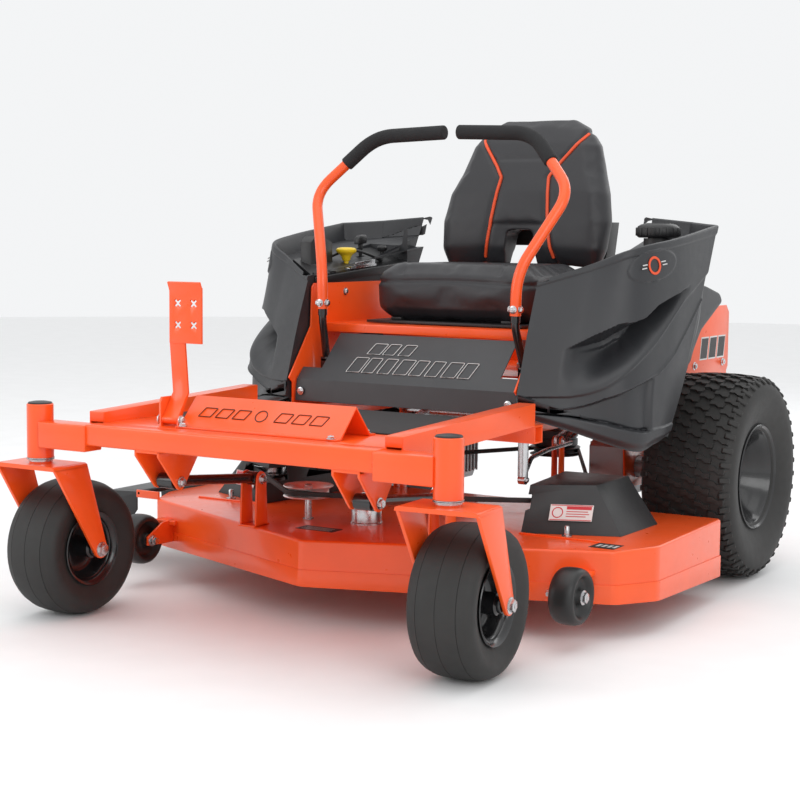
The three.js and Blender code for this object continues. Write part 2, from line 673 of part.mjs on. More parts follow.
function scalpBracket() {
  const { x, y, z } = SCALP;
  const plate = plateX([[y - 16, z - 14], [y - 16, z + 14], [-420, z + 40], [-366, z + 40],
    [-366, z - 14]], x - 42, x - 36);
  return weld(plate, rod(8, -42, 36, FINE.pin, "x", [x, y, z]), rod(14, 33, 40, 6, "x", [x, y, z]));
}

function deckShell() {
  const shell = cut(deckBlock(DECK_PLAN, 0, DECK.top),
    deckBlock(inset(DECK_PLAN, DECK.wall), 20, DECK.top - DECK.wall));
  const housings = Object.values(SPINDLES).map(({ x, y }) =>
    spun([[0, 170], [50, 170], [50, 203], [66, 207], [66, 216], [37, 220], [37, 262], [0, 262]],
      FINE.rim, "z", [x, y, 0]));
  const stud = rod(9, 206, 270, FINE.pin, "z", [IDLER.x, IDLER.y, 0]);
  const brackets = Object.values(FRONT_LINKS).map((x) =>
    deckBracket(x, LINK.rearY, LINK.rearZ, 20, 34));
  const hangers = [-LIFT.x, LIFT.x].map((x) => deckBracket(x, LIFT.armY, LIFT.armZ - 1, 8, 12));
  const ears = [[CHUTE.front - 8, CHUTE.front - 2], [CHUTE.rear + 2, CHUTE.rear + 8]].map(
    ([y0, y1]) => block(CHUTE.x - 9, -676, y0, y1, DECK.top - 3, CHUTE.z + 9));
  const chutePin = rod(3.5, CHUTE.front - 8, CHUTE.rear + 8, FINE.pin, "y", [CHUTE.x, 0, CHUTE.z]);
  const opening = block(-770, -690, CHUTE.front, CHUTE.rear, 20, 186);
  const bores = Object.values(SPINDLES).map(({ x, y }) => rod(18, 160, 270, FINE.rim, "z", [x, y, 0]));
  return cut(
    weld(cut(shell, opening), ...housings, stud, ...brackets, ...hangers, ...ears, chutePin,
      scalpBracket(), mirrored(scalpBracket())),
    ...bores);
}

function beltCover(slotReach) {
  const ring = (points, z) => points.map(([x, y]) => [x, y, z]);
  const base = [[386, -251], [610, -160], [612, 57], [346, 57]];
  const top = [[392, -217], [529, -132], [527, 60], [356, 50]];
  const low = DECK.top + GAP;
  const shell = cut(loft([ring(base, low), ring(top, 325)]),
    loft([ring(inset(base, 4), low - 1), ring(inset(top, 4), 321)]));
  const beltSlot = block(330, 372, -260, 70, BELT.low - 14, BELT.high + 12);
  const rearSlot = block(380, 500, 30, 70, BELT.low - 14, BELT.high + 12);
  const frontSlot = block(330, slotReach, -260, -150, BELT.low - 14, BELT.high + 12);
  return cut(shell, beltSlot, rearSlot, frontSlot);
}

function dischargeChute() {
  const { x, z, front, rear, reach } = CHUTE;
  const top = plateY([[x, z - 4], [x, z + 3], [-860, z - 2], [reach, 168], [reach + 4, 162],
    [-858, z - 9]], front, rear);
  const cheek = (y0, y1) => plateY([[x - 14, z - 3], [-858, z - 5], [reach + 2, 166],
    [reach + 6, 120], [-800, 120], [x - 14, 170]], y0, y1);
  const knuckle = rod(8, front, rear, FINE.shaft, "y", [x, 0, z]);
  return cut(weld(top, cheek(front, front + 5), cheek(rear - 5, rear), knuckle),
    rod(4, front - 5, rear + 5, FINE.pin, "y", [x, 0, z]));
}

// A grooved pulley between two flanges, as a closed profile.
function sheave(radius, bore) {
  const mid = (BELT.low + BELT.high) / 2;
  return [[bore, mid - 13], [radius, mid - 13], [radius, mid - 8], [radius - 12, mid - 6.6],
    [radius - 12, mid + 6.6], [radius, mid + 8], [radius, mid + 13], [bore, mid + 13]];
}

function spindle({ x, y, radius }) {
  const shaft = rod(15, 116, 312, FINE.shaft, "z", [x, y, 0]);
  return weld(shaft, spun(sheave(radius, 0), FINE.rim, "z", [x, y, 0]),
    rod(22, 292, 308, 6, "z", [x, y, 0]));
}

// A bar blade with its rear edges turned up.
function blade({ x, y }) {
  const { radius, low, high } = BLADE;
  const flat = block(-radius, radius, -30, 30, low, high);
  const tips = [1, -1].map((s) =>
    block(s > 0 ? radius - 90 : -radius, s > 0 ? radius : 90 - radius,
      s > 0 ? 24 : -30, s > 0 ? 30 : -24, high - 2, high + 20));
  return cut(weld(flat, ...tips, rod(14, low - 12, low + 1, 6, "z")),
    rod(11, high - 1, high + 30, FINE.pin, "z")).translate(x, y, 0);
}

function idlerPulley() {
  const { x, y, radius } = IDLER;
  const dished = [[9.6, 271], [radius, 271], [radius, 276], [radius - 12, 277.4],
    [radius - 12, 290.6], [radius, 292], [radius, 297], [30, 284], [9.6, 284]];
  return weld(spun(dished, FINE.tyre, "z", [x, y, 0]), rod(12, 283, 300, 6, "z", [x, y, 0]));
}

function drivePulley() {
  const { x, y, radius } = DRIVE_PULLEY;
  return weld(spun(sheave(radius, 0), FINE.tyre, "z", [x, y, 0]),
    rod(68, 296, 352, FINE.tyre, "z", [x, y, 0]),
    rod(17, 350, ENGINE.plate - GAP, FINE.shaft, "z", [x, y, 0]));
}

// The tight loop around a set of circles, each pulled in by the same amount.
function loopAround(circles, pull) {
  const points = circles.flatMap(({ x, y, radius }) =>
    Array.from({ length: FINE.rim }, (_, k) => {
      const angle = (k * 2 * Math.PI) / FINE.rim;
      return [x + (radius - pull) * Math.cos(angle), y + (radius - pull) * Math.sin(angle)];
    }));
  points.sort((a, b) => a[0] - b[0] || a[1] - b[1]);
  const turn = (o, a, b) => (a[0] - o[0]) * (b[1] - o[1]) - (a[1] - o[1]) * (b[0] - o[0]);
  const half = (ordered) => ordered.reduce((hull, p) => {
    while (hull.length > 1 && turn(hull.at(-2), hull.at(-1), p) <= 0) hull.pop();
    return [...hull, p];
  }, []);
  return [...half(points).slice(0, -1), ...half(points.toReversed()).slice(0, -1)];
}

function deckBelt() {
  const pulleys = [...Object.values(SPINDLES), IDLER, DRIVE_PULLEY];
  return cut(plateZ(loopAround(pulleys, 1.5), BELT.low, BELT.high),
    plateZ(loopAround(pulleys, 1.5 + BELT.thick), BELT.low - 2, BELT.high + 2));
}

function scalpWheel() {
  const { x, y, z, radius } = SCALP;
  const profile = [[8.8, -30], [24, -30], [26, -22], [52, -24], [radius - 6, -30],
    [radius, -20], [radius, 20], [radius - 6, 30], [52, 24], [26, 22], [24, 30], [8.8, 30]];
  return spun(profile, FINE.rim, "x", [x, y, z]);
}

// ---- deck lift ----
function frontLink(x) {
  const { frontY, frontZ, rearY, rearZ } = LINK;
  const arm = plateX([[frontY, frontZ - 13], [rearY, rearZ - 14], [rearY, rearZ + 14],
    [frontY, frontZ + 13]], x - 8, x + 8);
  const eyes = [rod(18, -18, 18, FINE.rim, "x", [x, frontY, frontZ]),
    rod(17, -15, 15, FINE.rim, "x", [x, rearY, rearZ])];
  return cut(weld(arm, ...eyes), rod(6.6, -40, 40, FINE.shaft, "x", [x, frontY, frontZ]),
    rod(10, -40, 40, FINE.shaft, "x", [x, rearY, rearZ]));
}

function liftShaft() {
  const { x, y, z, armY, armZ } = LIFT;
  const shaft = rod(14, -SIDE_PLATE.outer - 4, SIDE_PLATE.outer + 4, FINE.rim, "x", [0, y, z]);
  const arm = (side) => plateX([[y, z + 18], [y, z - 18], [armY, armZ - 16], [armY - 18, armZ - 10],
    [armY - 18, armZ + 10], [armY, armZ + 16]], side * x - 4, side * x + 4);
  const slot = block(-x - 20, x + 20, armY - 12, armY + 12, armZ - 9, armZ + 9);
  return weld(shaft, cut(arm(1), slot), cut(arm(-1), slot));
}

// ---- engine and drive ----
function engineBlock() {
  const { y, plate } = ENGINE;
  const base = plate + GAP;
  const sump = rod(120, base, 620, FINE.rim, "z", [0, y, 0]);
  const cylinder = (side) => weld(
    bar([0, y, 590], [side * 138, y + 110, 590], 46),
    ...[0.62, 0.9].map((t) => bar([side * 138 * t, y + 110 * t, 590],
      [side * 138 * (t + 0.06), y + 110 * (t + 0.06), 590], 58)));
  return weld(sump, cylinder(1), cylinder(-1));
}

function engineCowl() {
  const profile = [[0, 651], [146, 651], [150, 662], [150, 716], [138, 742], [96, 752],
    [90, 768], [0, 772]];
  const filter = block(-85, 85, ENGINE.y + 80, ENGINE.y + 190, 654, 760);
  return weld(spun(profile, FINE.tyre, "z", [0, ENGINE.y, 0]), filter);
}

function muffler() {
  const body = rod(38, -150, 150, FINE.rim, "x", [0, 900, 570]);
  const tail = bar([110, 900, 570], [110, 936, 586], 14);
  return weld(body, tail);
}

function transaxle() {
  const { x, y, z } = REAR_AXLE;
  const housing = plateX([[y - 84, z - 40], [y - 50, z - 80], [y + 50, z - 80], [y + 84, z - 40],
    [y + 84, z + 60], [y + 50, z + 84], [y - 50, z + 84], [y - 84, z + 60]], 226, 330);
  const horn = rod(30, 328, 428, FINE.rim, "x", [0, y, z]);
  const shaft = rod(17, 426, x - 70, FINE.rim, "x", [0, y, z]);
  const inputShaft = rod(12, z + 80, z + 120, FINE.pin, "z", [270, y, 0]);
  const pulley = rod(50, z + 104, z + 118, FINE.rim, "z", [270, y, 0]);
  return weld(housing, horn, shaft, inputShaft, pulley);
}

// ---- assembly ----
part("front_beam", frontBeam(), powderCoat());
part("main_frame", mainFrame(), powderCoat());
part("floor_pan", floorPan(), powderCoat());
part("footrest", footrest(), powderCoat());
part("front_panel", frontPanel(), plastic());
part("seat_pan", seatPan(), powderCoat());
part("rear_frame", rearFrame(), powderCoat());

for (const [name, side] of sides) {
  part(`side_plate_${name}`, facing(sidePlate(), side), powderCoat());
  part(`transaxle_${name}`, facing(transaxle(), side), castMetal());
  part(`pivot_block_${name}`, facing(pivotBlock(), side), blackPaint());
  part(`control_lever_${name}`, facing(controlLever(), side), blackPaint());
  part(`lap_bar_${name}`, facing(lapBar(), side), powderCoat());
  part(`grip_${name}`, facing(grip(), side), foam());
  part(`rear_rim_${name}`, facing(rearRim(), side), blackPaint());
  part(`rear_tyre_${name}`, facing(rearTyre(), side), rubber());
  part(`belt_cover_${name}`, facing(beltCover(side > 0 ? 398 : 520), side), blackPaint());
  part(`anti_scalp_wheel_${name}`, facing(scalpWheel(), side), rubber());
  part(`deck_link_${name}`, frontLink(FRONT_LINKS[name]), blackPaint());

  const turn = new THREE.Matrix4()
    .makeTranslation(side * KINGPIN.x, KINGPIN.y, 0)
    .multiply(new THREE.Matrix4().makeRotationZ(THREE.MathUtils.degToRad(CASTER_TURN[name])));
  const wheelPlace = turn.clone().multiply(
    new THREE.Matrix4().makeTranslation(0, CASTER_TYRE.trail, CASTER_TYRE.radius));
  part(`caster_fork_${name}`, casterFork().applyMatrix4(turn), powderCoat());
  part(`caster_rim_${name}`, casterRim().applyMatrix4(wheelPlace), blackPaint());
  part(`caster_tyre_${name}`, casterTyre().applyMatrix4(wheelPlace), rubber());
}

part("fender_left", leftPod(), plastic());
part("fender_right", rightPod(), plastic());
part("fuel_cap", fuelCap(), plastic());
part("control_console", controlConsole(), blackPaint());
part("pto_knob", ptoKnob(), yellowPlastic());
part("throttle_lever", throttleLever(), blackPaint());
part("brake_pedal", brakePedal(), powderCoat());
part("seat_cushion", seatCushion(), vinyl());
part("seat_back", seatBack(), vinyl());
part("seat_bracket", seatBracket(), blackPaint());

part("deck_shell", deckShell(), powderCoat());
part("discharge_chute", dischargeChute(), blackPaint());
for (const [name, place] of Object.entries(SPINDLES)) {
  part(`spindle_${name}`, spindle(place), zinc());
  part(`blade_${name}`, blade(place), blackPaint());
}
part("idler_pulley", idlerPulley(), zinc());
part("drive_pulley", drivePulley(), zinc());
part("deck_belt", deckBelt(), rubber());
part("lift_shaft", liftShaft(), zinc());

part("engine_block", engineBlock(), castMetal());
part("engine_cowl", engineCowl(), blackPaint());
part("muffler", muffler(), zinc());

export default mower;
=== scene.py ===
"""Looks of the zero-turn riding mower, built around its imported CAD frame."""

import logging
import math
from dataclasses import dataclass, field
from enum import Enum
from typing import Callable, Iterable, Sequence

import bmesh
import bpy
from mathutils import Matrix, Vector


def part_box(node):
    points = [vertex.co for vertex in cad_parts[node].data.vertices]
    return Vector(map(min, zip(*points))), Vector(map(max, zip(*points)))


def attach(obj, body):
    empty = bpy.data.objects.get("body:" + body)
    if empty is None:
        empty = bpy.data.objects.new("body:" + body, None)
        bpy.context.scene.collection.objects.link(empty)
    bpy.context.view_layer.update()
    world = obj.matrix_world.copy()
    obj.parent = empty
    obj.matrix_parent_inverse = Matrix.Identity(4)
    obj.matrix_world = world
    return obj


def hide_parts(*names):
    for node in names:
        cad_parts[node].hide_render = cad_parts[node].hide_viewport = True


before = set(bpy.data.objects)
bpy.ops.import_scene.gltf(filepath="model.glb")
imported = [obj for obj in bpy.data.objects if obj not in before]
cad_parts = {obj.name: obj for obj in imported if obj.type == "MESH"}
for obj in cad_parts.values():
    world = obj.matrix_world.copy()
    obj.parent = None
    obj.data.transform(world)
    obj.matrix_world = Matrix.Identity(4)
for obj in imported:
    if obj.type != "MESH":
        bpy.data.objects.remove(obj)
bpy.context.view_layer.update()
LOG = logging.getLogger("mower")

MM = 0.001
Point = Sequence[float]


def middle_x() -> float:
    """Return the machine's middle plane, in metres, from the front beam's box."""
    low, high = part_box("front_beam")
    return (low[0] + high[0]) / 2


SHIFT = middle_x()


def place(x: float, y: float, z: float) -> Vector:
    """Turn millimetres from the machine's middle plane into metres in the frame.

    Args:
        x: Distance to the operator's left of the middle plane.
        y: Distance towards the rear.
        z: Height above the ground.

    Returns:
        The point in metres.
    """
    return Vector((x * MM + SHIFT, y * MM, z * MM))


# ---------------------------------------------------------------- finishes


class Grain(Enum):
    """Surface relief that a finish carries."""

    ORANGE_PEEL = "orange peel"
    MOULDED = "moulded"
    RUBBER = "rubber"
    LEATHER = "leather"
    FOAM = "foam"
    BRUSHED = "brushed"
    CAST = "cast"
    TREAD_PLATE = "tread plate"


@dataclass(frozen=True)
class Finish:
    """One surface finish with its colour, gloss and grain."""

    name: str
    slot: str
    color: tuple[float, float, float]
    roughness: float
    metallic: float = 0.0
    grain: Grain = Grain.ORANGE_PEEL
    size: float = 900.0
    bump: float = 0.1
    patchy: float = 0.06
    coat: float = 0.0
    sheen: float = 0.0

    def material(self) -> bpy.types.Material:
        """Return the finish's material, making it on first use."""
        found = bpy.data.materials.get(self.name)
        if found:
            return found
        made = bpy.data.materials.new(self.name)
        made.use_nodes = True
        tree = made.node_tree
        shader = tree.nodes["Principled BSDF"]
        shader.inputs["Metallic"].default_value = self.metallic
        shader.inputs["Coat Weight"].default_value = self.coat
        shader.inputs["Coat Roughness"].default_value = 0.08
        shader.inputs["Sheen Weight"].default_value = self.sheen
        where = tree.nodes.new("ShaderNodeTexCoord").outputs["Object"]
        self._colour(tree, shader, where)
        self._relief(tree, shader, where)
        return made

    def _colour(self, tree: bpy.types.NodeTree, shader: bpy.types.Node,
                where: bpy.types.NodeSocket) -> None:
        """Vary the colour and the roughness in soft patches.

        Args:
            tree: The material's nodes.
            shader: Its principled shader.
            where: Object coordinates.
        """
        clouds = tree.nodes.new("ShaderNodeTexNoise")
        clouds.inputs["Scale"].default_value = 7.0
        clouds.inputs["Detail"].default_value = 5.0
        tree.links.new(where, clouds.inputs["Vector"])
        ramp = tree.nodes.new("ShaderNodeValToRGB")
        dark = tuple(c * (1 - self.patchy * 2) for c in self.color)
        light = tuple(min(1.0, c * (1 + self.patchy)) for c in self.color)
        ramp.color_ramp.elements[0].position = 0.3
        ramp.color_ramp.elements[1].position = 0.7
        ramp.color_ramp.elements[0].color = (*dark, 1)
        ramp.color_ramp.elements[1].color = (*light, 1)
        tree.links.new(clouds.outputs["Fac"], ramp.inputs["Fac"])
        tree.links.new(ramp.outputs["Color"], shader.inputs["Base Color"])
        gloss = tree.nodes.new("ShaderNodeMapRange")
        gloss.inputs["To Min"].default_value = max(0.02, self.roughness - 0.06)
        gloss.inputs["To Max"].default_value = min(1.0, self.roughness + 0.07)
        fine = tree.nodes.new("ShaderNodeTexNoise")
        fine.inputs["Scale"].default_value = 45.0
        tree.links.new(where, fine.inputs["Vector"])
        tree.links.new(fine.outputs["Fac"], gloss.inputs["Value"])
        tree.links.new(gloss.outputs["Result"], shader.inputs["Roughness"])

    def _relief(self, tree: bpy.types.NodeTree, shader: bpy.types.Node,
                where: bpy.types.NodeSocket) -> None:
        """Add the grain as bump.

        Args:
            tree: The material's nodes.
            shader: Its principled shader.
            where: Object coordinates.
        """
        if self.grain in (Grain.LEATHER, Grain.CAST, Grain.FOAM):
            source = tree.nodes.new("ShaderNodeTexVoronoi")
            source.feature = "F1" if self.grain is Grain.FOAM else "SMOOTH_F1"
            height = source.outputs["Distance"]
        elif self.grain is Grain.TREAD_PLATE:
            source = tree.nodes.new("ShaderNodeTexWave")
            source.wave_type = "RINGS"
            source.rings_direction = "SPHERICAL"
            height = source.outputs["Fac"]
        else:
            source = tree.nodes.new("ShaderNodeTexNoise")
            source.inputs["Detail"].default_value = 3.0
            height = source.outputs["Fac"]
        source.inputs["Scale"].default_value = self.size
        mapping = tree.nodes.new("ShaderNodeMapping")
        if self.grain is Grain.BRUSHED:
            mapping.inputs["Scale"].default_value = (0.08, 1.0, 1.0)
        tree.links.new(where, mapping.inputs["Vector"])
        tree.links.new(mapping.outputs["Vector"], source.inputs["Vector"])
        bump = tree.nodes.new("ShaderNodeBump")
        bump.inputs["Strength"].default_value = self.bump
        bump.inputs["Distance"].default_value = 0.0006
        tree.links.new(height, bump.inputs["Height"])
        tree.links.new(bump.outputs["Normal"], shader.inputs["Normal"])


ORANGE = Finish("orange powder coat", "powder_coat", (0.93, 0.098, 0.010), 0.30,
                grain=Grain.ORANGE_PEEL, size=420, bump=0.06, patchy=0.035, coat=0.25)
GLOSS_BLACK = Finish("gloss black paint", "black_paint", (0.010, 0.010, 0.011), 0.24,
                     grain=Grain.ORANGE_PEEL, size=420, bump=0.06, coat=0.4)
SATIN_BLACK = Finish("satin black paint", "black_paint", (0.018, 0.018, 0.019), 0.42,
                     grain=Grain.MOULDED, size=1400, bump=0.18)
PANEL_GREY = Finish("dark grey panel paint", "panel_paint", (0.032, 0.033, 0.036), 0.38,
                    grain=Grain.MOULDED, size=1700, bump=0.22)
POD_PLASTIC = Finish("moulded pod plastic", "pod_plastic", (0.025, 0.026, 0.029), 0.42,
                     grain=Grain.MOULDED, size=1500, bump=0.28, patchy=0.05)
BLACK_PLASTIC = Finish("black plastic", "cap_plastic", (0.014, 0.014, 0.015), 0.40,
                       grain=Grain.MOULDED, size=1300, bump=0.22)
YELLOW = Finish("yellow knob plastic", "yellow_plastic", (0.83, 0.58, 0.012), 0.3,
                grain=Grain.MOULDED, size=900, bump=0.06)
TYRE = Finish("tyre rubber", "tyre_rubber", (0.019, 0.018, 0.017), 0.62,
              grain=Grain.RUBBER, size=520, bump=0.35, patchy=0.16)
ROLLER = Finish("hard roller rubber", "roller_rubber", (0.016, 0.016, 0.016), 0.42,
                grain=Grain.RUBBER, size=700, bump=0.16, patchy=0.1)
BELT = Finish("belt rubber", "belt_rubber", (0.020, 0.020, 0.020), 0.7,
              grain=Grain.RUBBER, size=900, bump=0.4)
GRIP_FOAM = Finish("grip foam", "grip_foam", (0.014, 0.014, 0.015), 0.86,
                   grain=Grain.FOAM, size=1400, bump=0.5)
ZINC = Finish("zinc plated steel", "zinc_steel", (0.62, 0.62, 0.63), 0.26, 1.0,
              grain=Grain.BRUSHED, size=900, bump=0.12, patchy=0.1)
BRIGHT = Finish("bright pulley steel", "zinc_steel", (0.78, 0.78, 0.77), 0.38, 0.75,
                grain=Grain.BRUSHED, size=900, bump=0.1, patchy=0.06)
BLADE_STEEL = Finish("black blade steel", "black_steel", (0.045, 0.045, 0.047), 0.45, 0.8,
                     grain=Grain.BRUSHED, size=700, bump=0.2)
CAST = Finish("cast alloy", "cast_alloy", (0.36, 0.37, 0.38), 0.5, 0.85,
              grain=Grain.CAST, size=900, bump=0.35)
VINYL = Finish("charcoal seat vinyl", "seat_vinyl", (0.021, 0.021, 0.024), 0.44,
               grain=Grain.LEATHER, size=760, bump=0.22, patchy=0.05)
PIPING = Finish("orange seat piping", "seat_vinyl", (0.80, 0.085, 0.02), 0.48,
                grain=Grain.LEATHER, size=900, bump=0.15)
MAT_RUBBER = Finish("floor mat rubber", "roller_rubber", (0.020, 0.020, 0.021), 0.6,
                    grain=Grain.TREAD_PLATE, size=260, bump=0.9)
LABEL_WHITE = Finish("white label", "panel_paint", (0.72, 0.72, 0.70), 0.35,
                     grain=Grain.MOULDED, size=1500, bump=0.03)
LABEL_RED = Finish("red label", "panel_paint", (0.55, 0.02, 0.03), 0.35,
                   grain=Grain.MOULDED, size=1500, bump=0.03)
LABEL_GREY = Finish("pale line print", "panel_paint", (0.60, 0.60, 0.59), 0.4,
                    grain=Grain.MOULDED, size=1500, bump=0.03)
LINE_BROWN = Finish("dark brown line print", "panel_paint", (0.10, 0.018, 0.006), 0.5,
                    grain=Grain.MOULDED, size=1500, bump=0.03)

# ---------------------------------------------------------------- modelling helpers


def lathe(profile: Iterable[tuple[float, float]], segments: int = 64) -> bmesh.types.BMesh:
    """Spin a profile of (radius, height) millimetres round the Z axis.

    Args:
        profile: Points in order; the ends on the axis, or the last joined to the first.
        segments: Steps in the full turn.

    Returns:
        A closed mesh in metres round the origin.
    """
    bm = bmesh.new()
    points = list(profile)
    verts = [bm.verts.new((r * MM, 0, h * MM)) for r, h in points]
    edges = [bm.edges.new(pair) for pair in zip(verts, verts[1:])]
    if points[0][0] > 0 or points[-1][0] > 0:
        edges.append(bm.edges.new((verts[-1], verts[0])))
    bmesh.ops.spin(bm, geom=verts + edges, cent=(0, 0, 0), axis=(0, 0, 1), dvec=(0, 0, 0),
                   angle=2 * math.pi, steps=segments, use_merge=True)
    bmesh.ops.remove_doubles(bm, verts=bm.verts, dist=1e-6)
    bmesh.ops.recalc_face_normals(bm, faces=bm.faces)
    return bm


def turned(bm: bmesh.types.BMesh, axis: str, centre: Vector) -> bmesh.types.BMesh:
    """Lay a mesh made round Z along another axis and move it to a centre.

    Args:
        bm: The mesh, changed in place.
        axis: "x", "-x", "y", "-y" or "z".
        centre: Where its origin goes, in metres.

    Returns:
        The same mesh.
    """
    turns = {
        "x": Matrix.Rotation(math.pi / 2, 4, "Y"),
        "-x": Matrix.Rotation(-math.pi / 2, 4, "Y"),
        "y": Matrix.Rotation(-math.pi / 2, 4, "X"),
        "-y": Matrix.Rotation(math.pi / 2, 4, "X"),
        "z": Matrix.Identity(4),
    }
    bm.transform(Matrix.Translation(centre) @ turns[axis])
    return bm


def round_bar(radius: float, low: float, high: float, sides: int, axis: str = "z",
              at: Vector | None = None) -> bmesh.types.BMesh:
    """Return a plain round bar along an axis.

    Args:
        radius: Its radius in millimetres.
        low: Its start along the axis, from the centre, in millimetres.
        high: Its end along the axis.
        sides: Sides of the section.
        axis: "x", "-x", "y", "-y" or "z".
        at: Its centre in metres, or None for the origin.
    """
    bar = lathe([(0, low), (radius, low), (radius, high), (0, high)], sides)
    return turned(bar, axis, at or Vector())


def bevel(bm: bmesh.types.BMesh, edges: Sequence[bmesh.types.BMEdge], width: float,
          segments: int, clamp: bool = False) -> None:
    """Round some edges of a mesh.

    Args:
        bm: The mesh, changed in place.
        edges: The edges to round.
        width: Bevel width in millimetres.
        segments: Steps across the bevel.
        clamp: Whether neighbouring bevels are kept from overlapping.
    """
    bmesh.ops.bevel(bm, geom=edges, offset=width * MM, offset_type="OFFSET", affect="EDGES",
                    segments=segments, profile=0.5, material=-1, clamp_overlap=clamp)


def repeat_round(bm: bmesh.types.BMesh, count: int) -> None:
    """Copy a mesh round the Z axis until the circle holds it count times."""
    bmesh.ops.spin(bm, geom=bm.verts[:] + bm.edges[:] + bm.faces[:], cent=(0, 0, 0),
                   axis=(0, 0, 1), dvec=(0, 0, 0), angle=2 * math.pi * (1 - 1 / count),
                   steps=count - 1, use_merge=False, use_duplicate=True)


def soften(bm: bmesh.types.BMesh, width: float, segments: int = 3, angle: float = 40.0) -> None:
    """Round every edge sharper than an angle.

    Args:
        bm: The mesh, changed in place.
        width: Bevel width in millimetres.
        segments: Steps across the bevel.
        angle: Sharpness in degrees from which an edge is rounded.
    """
    limit = math.radians(angle)
    sharp = [e for e in bm.edges if e.is_manifold and e.calc_face_angle(0) > limit]
    bevel(bm, sharp, width, segments, True)


def block(low: Vector, high: Vector, edge: float = 2.0) -> bmesh.types.BMesh:
    """Return a box between two corners with rounded edges.

    Args:
        low: One corner in metres.
        high: The opposite corner in metres.
        edge: Edge radius in millimetres.
    """
    bm = bmesh.new()
    size = [abs(b - a) for a, b in zip(low, high)]
    bmesh.ops.create_cube(bm, size=1.0)
    bm.transform(Matrix.Translation((low + high) / 2) @ Matrix.Diagonal((*size, 1)))
    if edge:
        soften(bm, edge)
    return bm


def prism(outline: Sequence[Vector], along: Vector, edge: float = 1.5,
          round_plan: float = 0.0) -> bmesh.types.BMesh:
    """Extrude a flat outline of points and round its edges.

    Args:
        outline: Corners in order, in metres.
        along: The extrusion, in metres.
        edge: Edge radius in millimetres.
        round_plan: Radius in millimetres for the outline's own corners.

    Returns:
        The closed mesh.
    """
    bm = bmesh.new()
    face = bm.faces.new([bm.verts.new(p) for p in outline])
    out = bmesh.ops.extrude_face_region(bm, geom=[face])
    moved = [v for v in out["geom"] if isinstance(v, bmesh.types.BMVert)]
    bmesh.ops.translate(bm, verts=moved, vec=along)
    bmesh.ops.recalc_face_normals(bm, faces=bm.faces)
    if round_plan:
        side = along.normalized()
        uprights = [e for e in bm.edges
                    if abs((e.verts[1].co - e.verts[0].co).normalized().dot(side)) > 0.99]
        bevel(bm, uprights, round_plan, 5, True)
    if edge:
        soften(bm, edge, 2)
    return bm


def tube(points: Sequence[Vector], radius: float, bend: float = 45.0,
         sides: int = 24) -> bmesh.types.BMesh:
    """Return a round bar along points, with its corners bent to a radius.

    Args:
        points: Corners of the route in metres.
        radius: Tube radius in millimetres.
        bend: Distance from a corner at which its bend starts, in millimetres.
        sides: Sides of the section.
    """
    route: list[Vector] = [points[0]]
    for before, corner, after in zip(points, points[1:], points[2:]):
        a = corner + (before - corner).normalized() * bend * MM
        b = corner + (after - corner).normalized() * bend * MM
        for step in range(9):
            t = step / 8
            route.append(a.lerp(corner, t).lerp(corner.lerp(b, t), t))
    route.append(points[-1])
    curve = bpy.data.curves.new("route", "CURVE")
    curve.dimensions = "3D"
    curve.bevel_depth = radius * MM
    curve.bevel_resolution = max(2, sides // 4 - 2)
    curve.use_fill_caps = True
    curve.twist_mode = "MINIMUM"
    spline = curve.splines.new("POLY")
    spline.points.add(len(route) - 1)
    for target, p in zip(spline.points, route):
        target.co = (*p, 1)
    holder = bpy.data.objects.new("route", curve)
    mesh = bpy.data.meshes.new_from_object(holder)
    bm = bmesh.new()
    bm.from_mesh(mesh)
    bpy.data.objects.remove(holder)
    bpy.data.curves.remove(curve)
    bpy.data.meshes.remove(mesh)
    bmesh.ops.remove_doubles(bm, verts=bm.verts, dist=1e-6)
    bmesh.ops.recalc_face_normals(bm, faces=bm.faces)
    return bm


def joined(parts: Iterable[bmesh.types.BMesh]) -> bmesh.types.BMesh:
    """Put several meshes into one and free them."""
    whole = bmesh.new()
    for bm in parts:
        mesh = bpy.data.meshes.new("part")
        bm.to_mesh(mesh)
        bm.free()
        whole.from_mesh(mesh)
        bpy.data.meshes.remove(mesh)
    return whole


def piece(name: str, bm: bmesh.types.BMesh, finish: Finish, body: str,
          replaces: Sequence[str] = (), angle: float = 38.0) -> bpy.types.Object:
    """Make an object from a mesh, dress it and tie it to a body.

    Args:
        name: The piece's name.
        bm: Its mesh in place, in metres; freed here.
        finish: Its finish.
        body: The CAD body that it rides on.
        replaces: CAD nodes that it stands for.
        angle: Edges sharper than this many degrees stay crisp.

    Returns:
        The new object.
    """
    limit = math.radians(angle)
    for face in bm.faces:
        face.smooth = True
    for edge in bm.edges:
        if edge.is_manifold:
            edge.smooth = edge.calc_face_angle(0) < limit
    mesh = bpy.data.meshes.new(name)
    bm.to_mesh(mesh)
    bm.free()
    made = bpy.data.objects.new(name, mesh)
    bpy.context.scene.collection.objects.link(made)
    mesh.materials.append(finish.material())
    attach(made, body)
    if replaces:
        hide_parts(*replaces)
    LOG.info("%s rides on %s", name, body)
    return made


def node_mesh(node: str, edge: float = 1.0, segments: int = 2) -> bmesh.types.BMesh:
    """Copy a CAD node's mesh, merge it and round its edges.

    Args:
        node: The CAD node's name.
        edge: Edge radius in millimetres.
        segments: Steps across each rounded edge.

    Returns:
        The mesh in place.
    """
    bm = bmesh.new()
    bm.from_mesh(bpy.data.objects[node].data)
    bmesh.ops.remove_doubles(bm, verts=bm.verts, dist=2e-5)
    bmesh.ops.dissolve_limit(bm, angle_limit=math.radians(1.0), verts=bm.verts, edges=bm.edges)
    if edge:
        soften(bm, edge, segments)
    return bm


